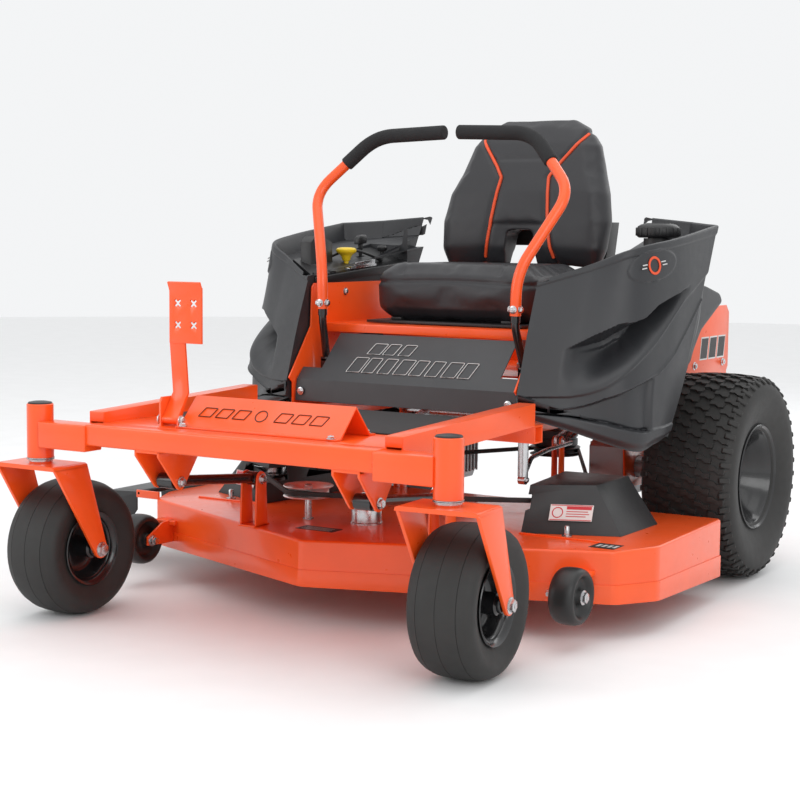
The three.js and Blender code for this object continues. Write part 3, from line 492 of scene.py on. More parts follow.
def softened(node: str, finish: Finish, body: str, edge: float = 1.0) -> bpy.types.Object:
    """Replace a CAD node by a copy of itself with rounded edges.

    Args:
        node: The CAD node's name.
        finish: The copy's finish.
        body: The body that it rides on.
        edge: Edge radius in millimetres.

    Returns:
        The new object.
    """
    return piece(f"{node}_sheet", node_mesh(node, edge), finish, body, [node])


def bolt(at: Vector, axis: str, radius: float = 8.0, height: float = 6.0) -> bmesh.types.BMesh:
    """Return a flanged hexagon bolt head that stands on a face.

    Args:
        at: The centre of its seat, in metres.
        axis: The direction that the head points in.
        radius: Half the width across the corners, in millimetres.
        height: Height of the hexagon in millimetres.
    """
    washer = lathe([(0, 0), (radius * 1.3, 0), (radius * 1.3, 1.2), (radius * 1.1, 2.0), (0, 2.0)], 28)
    head = lathe([(0, 1.0), (radius, 1.0), (radius, height), (radius * 0.82, height + 1.4),
                  (0, height + 1.4)], 6)
    tip = lathe([(0, height), (radius * 0.42, height), (radius * 0.42, height + 2.6),
                 (0, height + 3.0)], 16)
    return turned(joined([washer, head, tip]), axis, at)


def carved(bm: bmesh.types.BMesh, cutters: Sequence[bmesh.types.BMesh]) -> bmesh.types.BMesh:
    """Take closed cutters away from a closed mesh.

    Args:
        bm: The mesh to carve; freed here.
        cutters: The shapes taken away; freed here.

    Returns:
        The carved mesh.
    """
    def held(source: bmesh.types.BMesh, name: str) -> bpy.types.Object:
        """Put a mesh into a scratch object."""
        mesh = bpy.data.meshes.new(name)
        source.to_mesh(mesh)
        source.free()
        made = bpy.data.objects.new(name, mesh)
        bpy.context.scene.collection.objects.link(made)
        return made

    whole = held(bm, "carving")
    tool = held(joined(cutters), "cutter")
    cut = whole.modifiers.new("cut", "BOOLEAN")
    cut.operation = "DIFFERENCE"
    cut.solver = "EXACT"
    cut.use_self = True
    cut.object = tool
    bpy.context.view_layer.update()
    result = bpy.data.meshes.new_from_object(whole.evaluated_get(bpy.context.evaluated_depsgraph_get()))
    out = bmesh.new()
    out.from_mesh(result)
    for scratch in (whole, tool):
        mesh = scratch.data
        bpy.data.objects.remove(scratch)
        bpy.data.meshes.remove(mesh)
    bpy.data.meshes.remove(result)
    return out


def mirrored(bm: bmesh.types.BMesh, side: int) -> bmesh.types.BMesh:
    """Turn a mesh made for the left side over to the right one where side is -1.

    Args:
        bm: The mesh in place.
        side: 1 for the operator's left, -1 for the right.

    Returns:
        The same mesh.
    """
    if side < 0:
        bm.transform(Matrix.Translation((2 * SHIFT, 0, 0)) @ Matrix.Diagonal((-1, 1, 1, 1)))
        bmesh.ops.reverse_faces(bm, faces=bm.faces)
    return bm


SIDES = (("left", 1), ("right", -1))

# ---------------------------------------------------------------- studio


@dataclass
class Studio:
    """Floor, lights and the camera."""

    eye: tuple[float, float, float] = (2.371, -3.851, 0.935)
    yaw: float = 31.70
    pitch: float = 5.68
    roll: float = 0.52
    lens: float = 75.96

    def build(self) -> None:
        """Make the camera, the floor and the lights."""
        self.camera()
        self.floor()
        self.lights()

    def camera(self) -> None:
        """Look at the machine from its front left."""
        data = bpy.data.cameras.new("camera")
        data.lens = self.lens
        data.sensor_width = 36.0
        data.clip_end = 100.0
        made = bpy.data.objects.new("camera", data)
        bpy.context.scene.collection.objects.link(made)
        turn = Matrix.Rotation(math.radians(self.yaw), 4, "Z")
        tilt = Matrix.Rotation(math.radians(90 - self.pitch), 4, "X")
        roll = Matrix.Rotation(math.radians(self.roll), 4, "Z")
        made.matrix_world = Matrix.Translation(self.eye) @ turn @ tilt @ roll
        bpy.context.scene.camera = made

    def floor(self) -> None:
        """Lay a wide pale floor and set a pale sky."""
        bm = bmesh.new()
        bmesh.ops.create_circle(bm, cap_ends=True, segments=96, radius=14.0)
        mesh = bpy.data.meshes.new("floor")
        bm.to_mesh(mesh)
        bm.free()
        made = bpy.data.objects.new("floor", mesh)
        bpy.context.scene.collection.objects.link(made)
        finish = Finish("pale floor", "powder_coat", (0.90, 0.90, 0.90), 0.7,
                        grain=Grain.MOULDED, size=60, bump=0.02, patchy=0.01)
        mesh.materials.append(finish.material())
        world = bpy.data.worlds.new("sky")
        world.use_nodes = True
        back = world.node_tree.nodes["Background"]
        back.inputs["Color"].default_value = (0.98, 0.99, 1.0, 1)
        back.inputs["Strength"].default_value = 0.92
        bpy.context.scene.world = world
        bpy.context.scene.view_settings.view_transform = "Standard"

    def lights(self) -> None:
        """Hang soft boxes above and beside the machine."""
        self._box("overhead", (0.2, -0.4, 4.2), (0.1, 0.0, 0.0), 5.0, 62)
        self._box("front_left", (4.2, -3.6, 2.6), (0.1, -0.2, 0.6), 2.4, 48)
        self._box("front_right", (-3.6, -4.2, 2.4), (0.1, -0.2, 0.5), 2.4, 40)
        self._box("rear", (1.0, 4.6, 3.2), (0.1, 0.2, 0.7), 3.0, 34)

    def _box(self, name: str, at: Point, to: Point, size: float, power: float) -> None:
        """Hang one soft box.

        Args:
            name: The light's name.
            at: Its place in metres.
            to: The point that it faces.
            size: Its side in metres.
            power: Its strength in watts.
        """
        data = bpy.data.lights.new(name, "AREA")
        data.shape = "SQUARE"
        data.size = size
        data.energy = power
        made = bpy.data.objects.new(name, data)
        bpy.context.scene.collection.objects.link(made)
        aim = (Vector(to) - Vector(at)).to_track_quat("-Z", "Y").to_matrix().to_4x4()
        made.matrix_world = Matrix.Translation(at) @ aim


# ---------------------------------------------------------------- wheels


@dataclass
class DriveWheel:
    """A rear turf tyre on its stepped rim."""

    x: float = 584
    y: float = 550
    z: float = 279.5
    carcass: float = 270.5
    lug_height: float = 8.5
    rows: int = 42
    columns: tuple[float, ...] = (-93, -56, -19, 18, 55, 92)

    def build(self) -> None:
        """Make both wheels."""
        for side, sign in SIDES:
            self.tyre(side, sign)
            self.rim(side, sign)

    def tyre(self, side: str, sign: int) -> None:
        """Make the carcass and its interlocking tread.

        Args:
            side: left or right.
            sign: 1 for left, -1 for right.
        """
        r = self.carcass
        skin = [(128.4, -102), (134, -107), (141, -108), (144, -104), (150, -107), (165, -114),
                (190, -123), (215, -129), (236, -129), (251, -124), (261, -114), (r - 3, -96), (r, -60),
                (r + 1, 0), (r, 60), (r - 3, 96), (261, 114), (251, 124), (236, 129), (215, 129),
                (190, 123), (165, 114), (150, 107), (144, 104), (141, 108), (134, 107), (128.4, 102),
                (140, 90), (245, 92), (245, -92), (140, -90)]
        parts = [lathe(skin, 96)]
        parts.extend(self._lugs())
        parts.extend(self._shoulders(face) for face in (1, -1))
        bm = turned(joined(parts), "x", place(self.x, self.y, self.z))
        piece(f"turf_tyre_{side}", mirrored(bm, sign), TYRE, f"rear_wheel_{side}",
              [f"rear_tyre_{side}"])

    def _crown(self, across: float) -> float:
        """Return the tread's radius in millimetres at a distance from the wheel's middle."""
        return self.carcass + 1 - 5.5 * (abs(across) / 96) ** 2.4

    def _lugs(self) -> list[bmesh.types.BMesh]:
        """Return one ring of S-shaped blocks for every column."""
        pitch = 2 * math.pi / self.rows
        rings = []
        for number, middle in enumerate(self.columns):
            shape = [(-21, -9), (-7, -9), (4, -1), (22, -1), (22, 6), (20, 12), (6, 12), (-5, 4),
                     (-21, 4), (-22, 0)]
            bm = bmesh.new()
            face = bm.faces.new([bm.verts.new((u * MM, v * MM * 1.18, 0)) for u, v in shape])
            grown = bmesh.ops.extrude_face_region(bm, geom=[face])
            top = [v for v in grown["geom"] if isinstance(v, bmesh.types.BMVert)]
            bmesh.ops.translate(bm, verts=top, vec=(0, 0, self.lug_height * MM))
            bmesh.ops.scale(bm, verts=top, vec=(0.93, 0.86, 1.0))
            bmesh.ops.recalc_face_normals(bm, faces=bm.faces)
            offset = pitch * (0.5 * (number % 2) + 0.16 * number)
            for vert in bm.verts:
                across = middle + vert.co.x / MM
                radius = self._crown(across) - 2.0 + vert.co.z / MM
                angle = offset + vert.co.y / MM / self.carcass
                vert.co = Vector((radius * math.cos(angle), radius * math.sin(angle), across)) * MM
            repeat_round(bm, self.rows)
            rings.append(bm)
        return rings

    def _shoulders(self, face: int) -> bmesh.types.BMesh:
        """Return the ring of shoulder ribs of one side wall.

        Args:
            face: 1 for the outer side wall, -1 for the inner one.
        """
        bm = bmesh.new()
        bmesh.ops.create_cube(bm, size=1.0)
        bm.transform(Matrix.Translation((262 * MM, 0, 112 * MM * face))
                     @ Matrix.Rotation(math.radians(52 * face), 4, "Y")
                     @ Matrix.Diagonal((30 * MM, 15 * MM, 10 * MM, 1)))
        soften(bm, 2.5, 1)
        repeat_round(bm, self.rows)
        return bm

    def rim(self, side: str, sign: int) -> None:
        """Make the stepped rim with its hub and nuts.

        Args:
            side: left or right.
            sign: 1 for left, -1 for right.
        """
        dish = [(18.4, -128), (46, -128), (46, -122), (32, -118), (32, -32), (60, -32), (100, -16),
                (110, -24), (112, -70), (118, -76), (118, -92), (126, -98), (140, -112), (143, -110),
                (143, -106), (127, -97), (126, -60), (118, -50), (118, 50), (126, 60), (127, 97),
                (143, 106), (143, 110), (140, 112), (131, 104), (126, 98), (124, 90), (117, 84),
                (116, 66), (109, 60), (107, 40), (101, 34), (98, 4), (90, -10), (70, -21), (52, -22),
                (34, -14), (30, 6), (18.4, 8)]
        bm = turned(lathe(dish, 96), "x", place(self.x, self.y, self.z))
        piece(f"stepped_rim_{side}", mirrored(bm, sign), GLOSS_BLACK, f"rear_wheel_{side}",
              [f"rear_rim_{side}"], 50)
        studs = [self._nut(k) for k in range(4)]
        cap = turned(lathe([(0, 6), (26, 6), (26, 12), (21, 20), (0, 24)], 32), "x",
                     place(self.x, self.y, self.z))
        bm = mirrored(joined(studs + [cap]), sign)
        piece(f"wheel_nuts_{side}", bm, ZINC, f"rear_wheel_{side}")

    def _nut(self, number: int) -> bmesh.types.BMesh:
        """Return one wheel nut on its place round the hub."""
        angle = math.pi / 2 * number + 0.4
        at = place(self.x - 22, self.y + 52 * math.cos(angle), self.z + 52 * math.sin(angle))
        return bolt(at, "x", 11, 12)


@dataclass
class Caster:
    """A front wheel in its fork, which swivels in the front beam."""

    x: float = 561
    y: float = -908
    axle_z: float = 165
    trail: float = 106
    turns: dict[str, float] = field(default_factory=lambda: {"left": 4.0, "right": 0.0})

    def build(self) -> None:
        """Make both casters."""
        for side, sign in SIDES:
            turn = (Matrix.Translation(place(self.x * sign, self.y, 0))
                    @ Matrix.Rotation(math.radians(self.turns[side]), 4, "Z"))
            wheel = turn @ Matrix.Translation((0, self.trail * MM, self.axle_z * MM))
            self.tyre(side, wheel)
            self.rim(side, wheel)
            self.fork(side, turn)

    def tyre(self, side: str, where: Matrix) -> None:
        """Make the smooth tyre with its two fine rings.

        Args:
            side: left or right.
            where: The wheel's place.
        """
        half = [(76.4, 53), (81, 57), (88, 60), (96, 63), (108, 68), (122, 74.5), (133, 77), (143, 75),
                (151, 69.5), (156.5, 61), (160.5, 49), (161.6, 46.6), (160.9, 46.2), (160.9, 45.4),
                (162.2, 45), (164, 31), (164.9, 14), (165.2, 0.9), (164.4, 0.6)]
        skin = half + [(r, -h) for r, h in reversed(half)] + [(90, -48), (146, -50), (146, 50), (90, 48)]
        bm = turned(lathe(skin, 96), "x", Vector())
        bm.transform(where)
        piece(f"smooth_tyre_{side}", bm, TYRE, f"caster_wheel_{side}", [f"caster_tyre_{side}"], 55)

    def rim(self, side: str, where: Matrix) -> None:
        """Make the dished rim and its bearing hub.

        Args:
            side: left or right.
            where: The wheel's place.
        """
        half = [(10, 80), (17, 80), (19, 78), (19, 70), (24, 66), (24, 16), (30, 9), (58, 9), (66, 14),
                (69, 24), (71, 46), (75, 54), (84, 59), (90, 63), (91.5, 66), (90, 68), (86, 66.5),
                (77, 60)]
        skin = half + [(74.5, 52), (74.5, -52)] + [(r, -h) for r, h in reversed(half)]
        bm = turned(lathe(skin, 80), "x", Vector())
        bm.transform(where)
        piece(f"dished_rim_{side}", bm, GLOSS_BLACK, f"caster_wheel_{side}", [f"caster_rim_{side}"], 50)

    def fork(self, side: str, where: Matrix) -> None:
        """Make the fork, its kingpin and the axle bolt.

        Args:
            side: left or right.
            where: The fork's place.
        """
        legs = [self._leg(s) for s in (1, -1)]
        crown = block(Vector((-95, -57, 372)) * MM, Vector((95, 58, 382)) * MM, 0)
        corner = [e for e in crown.edges if abs(e.verts[0].co.x - e.verts[1].co.x) < 1e-6
                  and min(v.co.z for v in e.verts) > 381 * MM]
        bevel(crown, corner, 9, 4)
        collar = lathe([(0, 380), (27, 380), (27, 388), (24, 390), (0, 390)], 40)
        bm = joined(legs + [crown, collar])
        bm.transform(where)
        piece(f"fork_{side}", bm, ORANGE, f"caster_{side}", [f"caster_fork_{side}"])
        stem = round_bar(12.4, 388, 508, 32)
        washer = lathe([(13, 386), (29, 386), (29, 389.5), (13, 389.5)], 40)
        ends = [bolt(Vector((s * 95, self.trail, self.axle_z)) * MM, axis, 14, 10)
                for s, axis in ((1, "x"), (-1, "-x"))]
        axle = round_bar(8.4, -96, 96, 24, "x", Vector((0, self.trail, self.axle_z)) * MM)
        bm = joined([stem, washer, axle] + ends)
        bm.transform(where)
        piece(f"fork_hardware_{side}", bm, ZINC, f"caster_{side}")

    def _leg(self, side: int) -> bmesh.types.BMesh:
        """Return one tapering leg of the fork.

        Args:
            side: 1 for the leg at +X, -1 for the other.
        """
        low = side * 95 if side < 0 else 86
        tip = [(self.trail + 22 * math.cos(a), self.axle_z + 22 * math.sin(a))
               for a in (math.radians(d) for d in range(-150, 41, 19))]
        outline = [Vector((low, y, z)) * MM for y, z in [(-57, 380)] + tip + [(58, 380)]]
        return prism(outline, Vector((9 * MM, 0, 0)), 1.6)


@dataclass
class ScalpWheel:
    """A hard wheel that keeps the deck off the lawn."""

    x: float = 630
    y: float = -470
    z: float = 124

    def build(self) -> None:
        """Make both wheels with their bolts."""
        for side, sign in SIDES:
            half = [(8.8, 30), (15, 30), (17, 27), (17, 18), (22, 14), (38, 14), (44, 18), (47, 27),
                    (52, 31), (57, 30), (62, 25), (64.8, 16), (65.6, 6)]
            skin = half + [(r, -h) for r, h in reversed(half)]
            bm = turned(lathe(skin, 64), "x", place(self.x, self.y, self.z))
            piece(f"roller_{side}", mirrored(bm, sign), ROLLER, f"anti_scalp_wheel_{side}",
                  [f"anti_scalp_wheel_{side}"], 55)
            hub = bolt(place(self.x + 30, self.y, self.z), "x", 13, 9)
            shaft = round_bar(8.3, -60, 32, 24, "x", place(self.x, self.y, self.z))
            nut = bolt(place(self.x - 42, self.y, self.z), "-x", 12, 9)
            piece(f"roller_bolt_{side}", mirrored(joined([hub, shaft, nut]), sign), ZINC, "deck")


# ---------------------------------------------------------------- frame


@dataclass
class FrontBeam:
    """The box beam with its kingpin tubes and the deck hangers."""

    front: float = -933
    rear: float = -883
    low: float = 436
    high: float = 486
    half: float = 400
    king_x: float = 561
    king_y: float = -908
    hangers: tuple[float, float] = (324, -216)
    hanger_pin: tuple[float, float] = (-852, 360)

    def build(self) -> None:
        """Make the beam, its caps and its bolts."""
        parts = [block(place(-self.half, self.front, self.low), place(self.half, self.rear, self.high), 5)]
        for sign in (1, -1):
            outer = block(place(self.half - 5, -938, 421), place(self.king_x - 20, -878, 483), 3)
            parts.append(mirrored(outer, sign))
            tube_wall = lathe([(13.5, 394), (30, 394), (31.75, 396), (31.75, 521), (30, 523), (25, 523),
                               (25, 512), (13.5, 512)], 56)
            parts.append(turned(tube_wall, "z", place(self.king_x * sign, self.king_y, 0)))
        for x in self.hangers:
            parts.extend(self._hanger(x))
        piece("beam", joined(parts), ORANGE, "chassis", ["front_beam"])
        caps = [turned(lathe([(0, 513), (25.5, 513), (27, 521), (29, 524), (27, 526.5), (16, 528.5),
                              (0, 529)], 48), "z", place(self.king_x * s, self.king_y, 0))
                for s in (1, -1)]
        piece("kingpin_caps", joined(caps), BLACK_PLASTIC, "chassis")
        pins = []
        for x in self.hangers:
            pins.append(bolt(place(x - 37, *self.hanger_pin), "-x", 10, 8))
            pins.append(bolt(place(x + 37, *self.hanger_pin), "x", 10, 8))
            pins.append(round_bar(6, -38, 38, 16, "x", place(x, *self.hanger_pin)))
        for sign in (1, -1):
            for lift in (392, 395):
                ring = lathe([(14, lift - 1.5), (33, lift - 1.5), (33, lift), (14, lift)], 48)
                pins.append(turned(ring, "z", place(self.king_x * sign, self.king_y, 0)))
        piece("beam_hardware", joined(pins), ZINC, "chassis")

    def _hanger(self, x: float) -> list[bmesh.types.BMesh]:
        """Return the two pointed plates of one deck hanger.

        Args:
            x: The hanger's middle in millimetres.
        """
        outline = [(-930, 438), (-781, 438), (-781, 424), (-836, 351), (-842, 344), (-852, 341),
                   (-862, 344), (-868, 351), (-930, 424)]
        plates = []
        for dx in (-36, 30):
            points = [place(x + dx, y, z) for y, z in outline]
            plates.append(prism(points, Vector((6 * MM, 0, 0)), 1.2))
        plates.append(block(place(x - 36, -930, 431), place(x + 36, -781, 438), 1.5))
        return plates


@dataclass
class Chassis:
    """Rails, floor, footrest, panels and plates of the frame."""

    panel_top: tuple[float, float] = (-61, 663)
    panel_fold: tuple[float, float] = (-181, 544)
    panel_low: tuple[float, float] = (-189, 487)
    foot_front: tuple[float, float] = (-846, 489)
    foot_ridge: tuple[float, float] = (-783, 555)
    damper: tuple[float, float] = (352, -180)
    wing_face: float = 441.1

    def build(self) -> None:
        """Make every piece of the frame."""
        softened("main_frame", ORANGE, "chassis", 3.0)
        softened("floor_pan", ORANGE, "chassis", 0.8)
        softened("footrest", ORANGE, "chassis", 0.8)
        piece("front_panel_sheet", node_mesh("front_panel", 0.8), PANEL_GREY, "chassis", ["front_panel"], 12)
        softened("seat_pan", ORANGE, "chassis", 0.8)
        softened("rear_frame", ORANGE, "chassis", 1.4)
        for side, _ in SIDES:
            softened(f"side_plate_{side}", ORANGE, "chassis", 1.2)
        self.rail_ends()
        self.mat()
        self.fasteners()
        self.panel_stripes()
        self.footrest_stripes()
        self.wing_stripes()
        self.dampers()

    def rail_ends(self) -> None:
        """Close both ends of the front rails with welded plates."""
        ends = []
        for _, sign in SIDES:
            for y, low, high in ((-878.5, 486.5, 509), (-279, 477.5, 530)):
                plate = block(place(389, y, low), place(432, y + 3, high), 1)
                ends.append(mirrored(plate, sign))
        piece("rail_ends", joined(ends), ORANGE, "chassis")

    def mat(self) -> None:
        """Lay the ribbed rubber mat on the floor pan."""
        bm = block(place(-372, -690, 485.4), place(372, -300, 489), 1.2)
        piece("floor_mat", bm, MAT_RUBBER, "chassis")

    def _on_panel(self, across: float, along: float) -> Vector:
        """Return a point just above the sloping panel.

        Args:
            across: Millimetres from the middle plane.
            along: 0 at the fold, 1 at the top edge.
        """
        (y0, z0), (y1, z1) = self.panel_fold, self.panel_top
        return place(across, y0 + (y1 - y0) * along - 1.0, z0 + (z1 - z0) * along + 1.0)

    def panel_stripes(self) -> None:
        """Print slanted outline bars on the front panel, as a plain trim."""
        lines = []
        for low, high, shift, count in ((0.20, 0.50, 0, 8), (0.58, 0.80, 36, 3)):
            for number in range(count):
                left = -188 + number * 48 + shift
                wide = 34 if number % 3 else 40
                slant = 12
                corners = [(left, low), (left + wide, low), (left + wide + slant, high),
                           (left + slant, high)]
                route = [self._on_panel(x, t) for x, t in corners + corners[:2]]
                lines.append(tube(route, 1.0, 4, 8))
        piece("panel_trim_lines", joined(lines), LABEL_GREY, "chassis")

    def footrest_stripes(self) -> None:
        """Print slanted outline bars on the footrest's front slope, as a plain trim."""
        (y0, z0), (y1, z1) = self.foot_front, self.foot_ridge
        run = Vector((0, y1 - y0, z1 - z0)) * MM
        lines = []
        for start in (-150, -102, -54, 62, 110, 158):
            corners = [(start, 0.34), (start + 34, 0.34), (start + 44, 0.62), (start + 10, 0.62)]
            route = [place(x, y0 - 0.6, z0 + 0.6) + run * share for x, share in corners + corners[:2]]
            lines.append(tube(route, 1.1, 3, 8))
        ring = lathe([(14, 0), (16.4, 0), (16.4, 0.9), (14, 0.9)], 40)
        ring.transform(Matrix.Translation(place(22, y0, z0 + 0.5) + run * 0.48)
                       @ Matrix.Rotation(math.atan2(z1 - z0, y1 - y0), 4, "X"))
        lines.append(ring)
        piece("footrest_trim", joined(lines), LINE_BROWN, "chassis")

    def wing_stripes(self) -> None:
        """Print slanted black bars with pale edges on both rear wings, as a plain trim."""
        for side, sign in SIDES:
            for name, grow, thick, finish in (("edges", 4, 0.5, LABEL_WHITE), ("bars", 0, 0.9, SATIN_BLACK)):
                bars = []
                for start in (742, 808, 874):
                    outline = [(start - grow, 578 - grow), (start + 50 + grow, 578 - grow),
                               (start + 62 + grow, 636 + grow), (start + 12 - grow, 636 + grow)]
                    bars.append(prism([place(self.wing_face, y, z) for y, z in outline],
                                      Vector((thick * MM, 0, 0)), 0))
                piece(f"wing_{name}_{side}", mirrored(joined(bars), sign), finish, "chassis")

    def fasteners(self) -> None:
        """Set the zinc bolts of the panels, the footrest and the rear guard."""
        heads = []
        for sign in (1, -1):
            low_y, low_z = self.panel_low
            heads.append(bolt(place(sign * 312, low_y - 0.5, low_z + 26), "-y", 8, 5))
            heads.append(bolt(place(32 + sign * 204, -855, 489.5), "z", 8, 6))
            heads.append(bolt(place(32 + sign * 204, -713, 489.5), "z", 8, 6))
            heads.append(bolt(place(sign * 341.2, -88, 700), "x" if sign > 0 else "-x", 8, 6))
            heads.append(bolt(place(sign * 341.2, -60, 770), "x" if sign > 0 else "-x", 8, 6))
            heads.append(bolt(place(sign * 335.8, 60, 770), "-x" if sign > 0 else "x", 8, 5))
            for y, z in ((700, 560), (920, 560)):
                heads.append(bolt(place(sign * 441.2, y, z), "x" if sign > 0 else "-x", 9, 6))
            for x in (90, 250, 390):
                heads.append(bolt(place(sign * x, 966.2, 620), "y", 9, 6))
        piece("frame_bolts", joined(heads), ZINC, "chassis")

    def dampers(self) -> None:
        """Hang the short lever dampers under the front of the pods."""
        for side, sign in SIDES:
            x, y = self.damper
            body = tube([place(x, y, 338), place(x, y, 428)], 13, 10, 24)
            rod = tube([place(x, y, 420), place(x, y, 470)], 5, 10, 16)
            eyes = [turned(lathe([(4, -9), (12, -9), (12, 9), (4, 9)], 24), "x", place(x, y, z))
                    for z in (330, 472)]
            pins = [bolt(place(x + 9, y, z), "x", 7, 5) for z in (330, 472)]
            link = tube([place(x, y, 330), place(x - 13, y + 70, 376), place(x - 16, y + 170, 386),
                         place(x - 16, 120, 390)], 6, 12, 16)
            bm = joined([body, rod, link] + eyes + pins)
            piece(f"lever_damper_{side}", mirrored(bm, sign), ZINC, "chassis")


# ---------------------------------------------------------------- side pods


@dataclass
class PodSkin:
    """The moulded skin of a side pod, as rings at four levels with a sculpted face."""

    rings: tuple = (
        ((345, -223, 497), (455, -168, 462), (590, -55, 404), (612, 50, 414), (600, 145, 420),
         (585, 152, 425), (345, 152, 440)),
        ((345, -200, 560), (455, -141, 558), (578, -70, 560), (614, 70, 552), (612, 205, 545),
         (590, 240, 565), (345, 240, 580)),
        ((345, -155, 690), (460, -92, 705), (570, -5, 735), (606, 150, 745), (612, 300, 725),
         (575, 400, 735), (345, 400, 740)),
        ((345, -105, 814), (460, -35, 857), (556, 23, 897), (598, 180, 922), (600, 441, 957),
         (500, 520, 965), (345, 545, 978)),
    )
    ledge: tuple = ((0.8, 1.68), (1.28, 1.83), (1.68, 1.92), (1.96, 1.90), (2.21, 1.93), (2.51, 2.08),
                    (3.11, 2.22), (3.6, 2.4))
    scoop: tuple = ((0.0, 0.73), (0.53, 0.8), (1.03, 0.85), (1.3, 0.92), (1.6, 1.03), (2.06, 1.28),
                    (2.61, 1.62), (3.31, 2.15), (3.8, 2.4), (4.2, 2.6))
    band: tuple = ((0.9, 0.5), (1.15, 0.62), (1.6, 0.85), (2.08, 1.0), (2.76, 1.2), (3.28, 1.48),
                   (3.69, 1.85), (4.0, 2.2))
    lip: tuple = ((0.0, 0.05), (0.58, 0.25), (1.08, 0.35), (1.58, 0.38), (2.48, 0.32), (4.0, 0.3))
    across: int = 280
    up: int = 180
    corners: int = 7
    badge: tuple[float, float] = (2.36, 2.7)

    @staticmethod
    def _spline(a: Vector, b: Vector, c: Vector, d: Vector, t: float) -> Vector:
        """Return the smooth curve through b and c at a share t of the way."""
        return 0.5 * (2 * b + (c - a) * t + (2 * a - 5 * b + 4 * c - d) * t * t
                      + (3 * b - a - 3 * c + d) * t ** 3)

    def _on_ring(self, level: int, u: float) -> Vector:
        """Return the point of one level's plan at u, which counts its corners.

        Args:
            level: 0 at the bottom, 3 at the rim.
            u: 0 to 7 round the plan; 0 to 4 is the curved face.
        """
        ring = [Vector(p) for p in self.rings[level]]
        first = min(int(u), self.corners - 1)
        t = u - first
        b, c = ring[first], ring[(first + 1) % self.corners]
        if first >= 4:
            return b.lerp(c, t)
        a = ring[first - 1] if first else 2 * b - c
        d = ring[first + 2] if first < 3 else 2 * c - b
        return self._spline(a, b, c, d, t)

    def point(self, u: float, v: float) -> Vector:
        """Return the plain skin's point, in millimetres.

        Args:
            u: Place round the plan, 0 to 7.
            v: Height, 0 at the bottom edge to 3 at the rim.
        """
        rows = [self._on_ring(level, u) for level in range(4)]
        low = min(int(v), 2)
        b, c = rows[low], rows[low + 1]
        a = rows[low - 1] if low else 2 * b - c
        d = rows[low + 2] if low < 2 else 2 * c - b
        return self._spline(a, b, c, d, v - low)

    @staticmethod
    def _curve(points: Sequence[tuple[float, float]], u: float) -> float:
        """Return a feature line's height at u, level beyond its ends."""
        if u <= points[0][0]:
            return points[0][1]
        for (u0, v0), (u1, v1) in zip(points, points[1:]):
            if u <= u1:
                return v0 + (v1 - v0) * (u - u0) / (u1 - u0)
        return points[-1][1]

    @staticmethod
    def _step(x: float, low: float, high: float) -> float:
        """Return a smooth step from 0 at low to 1 at high."""
        t = min(1.0, max(0.0, (x - low) / (high - low)))
        return t * t * (3 - 2 * t)

    def depth(self, u: float, v: float) -> float:
        """Return how far the sculpted face lies inside the plain skin, in millimetres."""
        if u > 4.35:
            return 0.0
        step = self._step
        edge = 1 - step(u, 4.0, 4.3)
        ledge, scoop = self._curve(self.ledge, u), self._curve(self.scoop, u)
        band, lip = self._curve(self.band, u), self._curve(self.lip, u)
        inside = 0.0
        reach = step(u, 0.74, 1.5) * (1 - step(u, 2.6, 3.5))
        if scoop < v < ledge + 0.06:
            share = (v - scoop) / max(0.05, ledge - scoop)
            hollow = 78 * step(share, 0.0, 0.9) * (1 - step(v, ledge - 0.025, ledge + 0.012))
            inside += hollow * reach
        shelf = step(u, 1.0, 1.5) * (1 - step(u, 2.3, 2.6))
        inside -= 9 * shelf * step(v, ledge - 0.14, ledge - 0.10) * (1 - step(v, ledge - 0.03, ledge))
        inside += 5 * step(scoop - v, 0.0, 0.05) * step(v, band - 0.02, band + 0.02) * edge
        below = step(band - v, 0.0, 0.05)
        face = step(u, 1.0, 1.6) * (1 - step(u, 2.6, 2.72))
        inside += (5 + 13 * face) * below * (1 - step(lip - v, -0.02, 0.03)) * edge
        inside += 6 * math.exp(-((v - lip) / 0.028) ** 2) * (1 - step(u, 2.6, 2.7))
        inside += 10 * (1 - step(v, 0.0, 0.16)) * edge
        inside -= 3.5 * step(v, 2.9, 2.93) * edge
        badge_u, badge_v = self.badge
        badge = math.hypot((u - badge_u) / 0.6, (v - badge_v) / 0.25)
        inside -= 4.0 * (1 - step(badge, 0.92, 1.0)) * edge
        return inside

    def surface(self, u: float, v: float) -> Vector:
        """Return the sculpted face's point, in millimetres."""
        at = self.point(u, v)
        if u > 4.35:
            return at
        du = self.point(min(u + 0.01, 4.0), v) - self.point(max(min(u, 4.0) - 0.01, 0), v)
        dv = self.point(min(u, 4.0), min(v + 0.01, 3)) - self.point(min(u, 4.0), max(v - 0.01, 0))
        inward = dv.cross(du).normalized()
        return at + inward * self.depth(u, v)

    def mesh(self, floor_drop: float = 34) -> bmesh.types.BMesh:
        """Return the closed pod with its tray on top and its hollow below.

        Args:
            floor_drop: Depth of the tray below the rim, in millimetres.
        """
        bm = bmesh.new()
        skin = self.up
        extra = 8
        bmesh.ops.create_grid(bm, x_segments=self.across, y_segments=skin + extra, size=0.5)
        for vert in bm.verts:
            u = (vert.co.x + 0.5) * self.corners
            row = round((vert.co.y + 0.5) * (skin + extra))
            vert.co = self._row(u % self.corners if u < self.corners - 1e-6 else 0.0, row, skin, floor_drop)
        bmesh.ops.remove_doubles(bm, verts=bm.verts, dist=1e-6)
        rims = [e for e in bm.edges if e.is_boundary]
        bmesh.ops.holes_fill(bm, edges=rims)
        bmesh.ops.recalc_face_normals(bm, faces=bm.faces)
        return bm

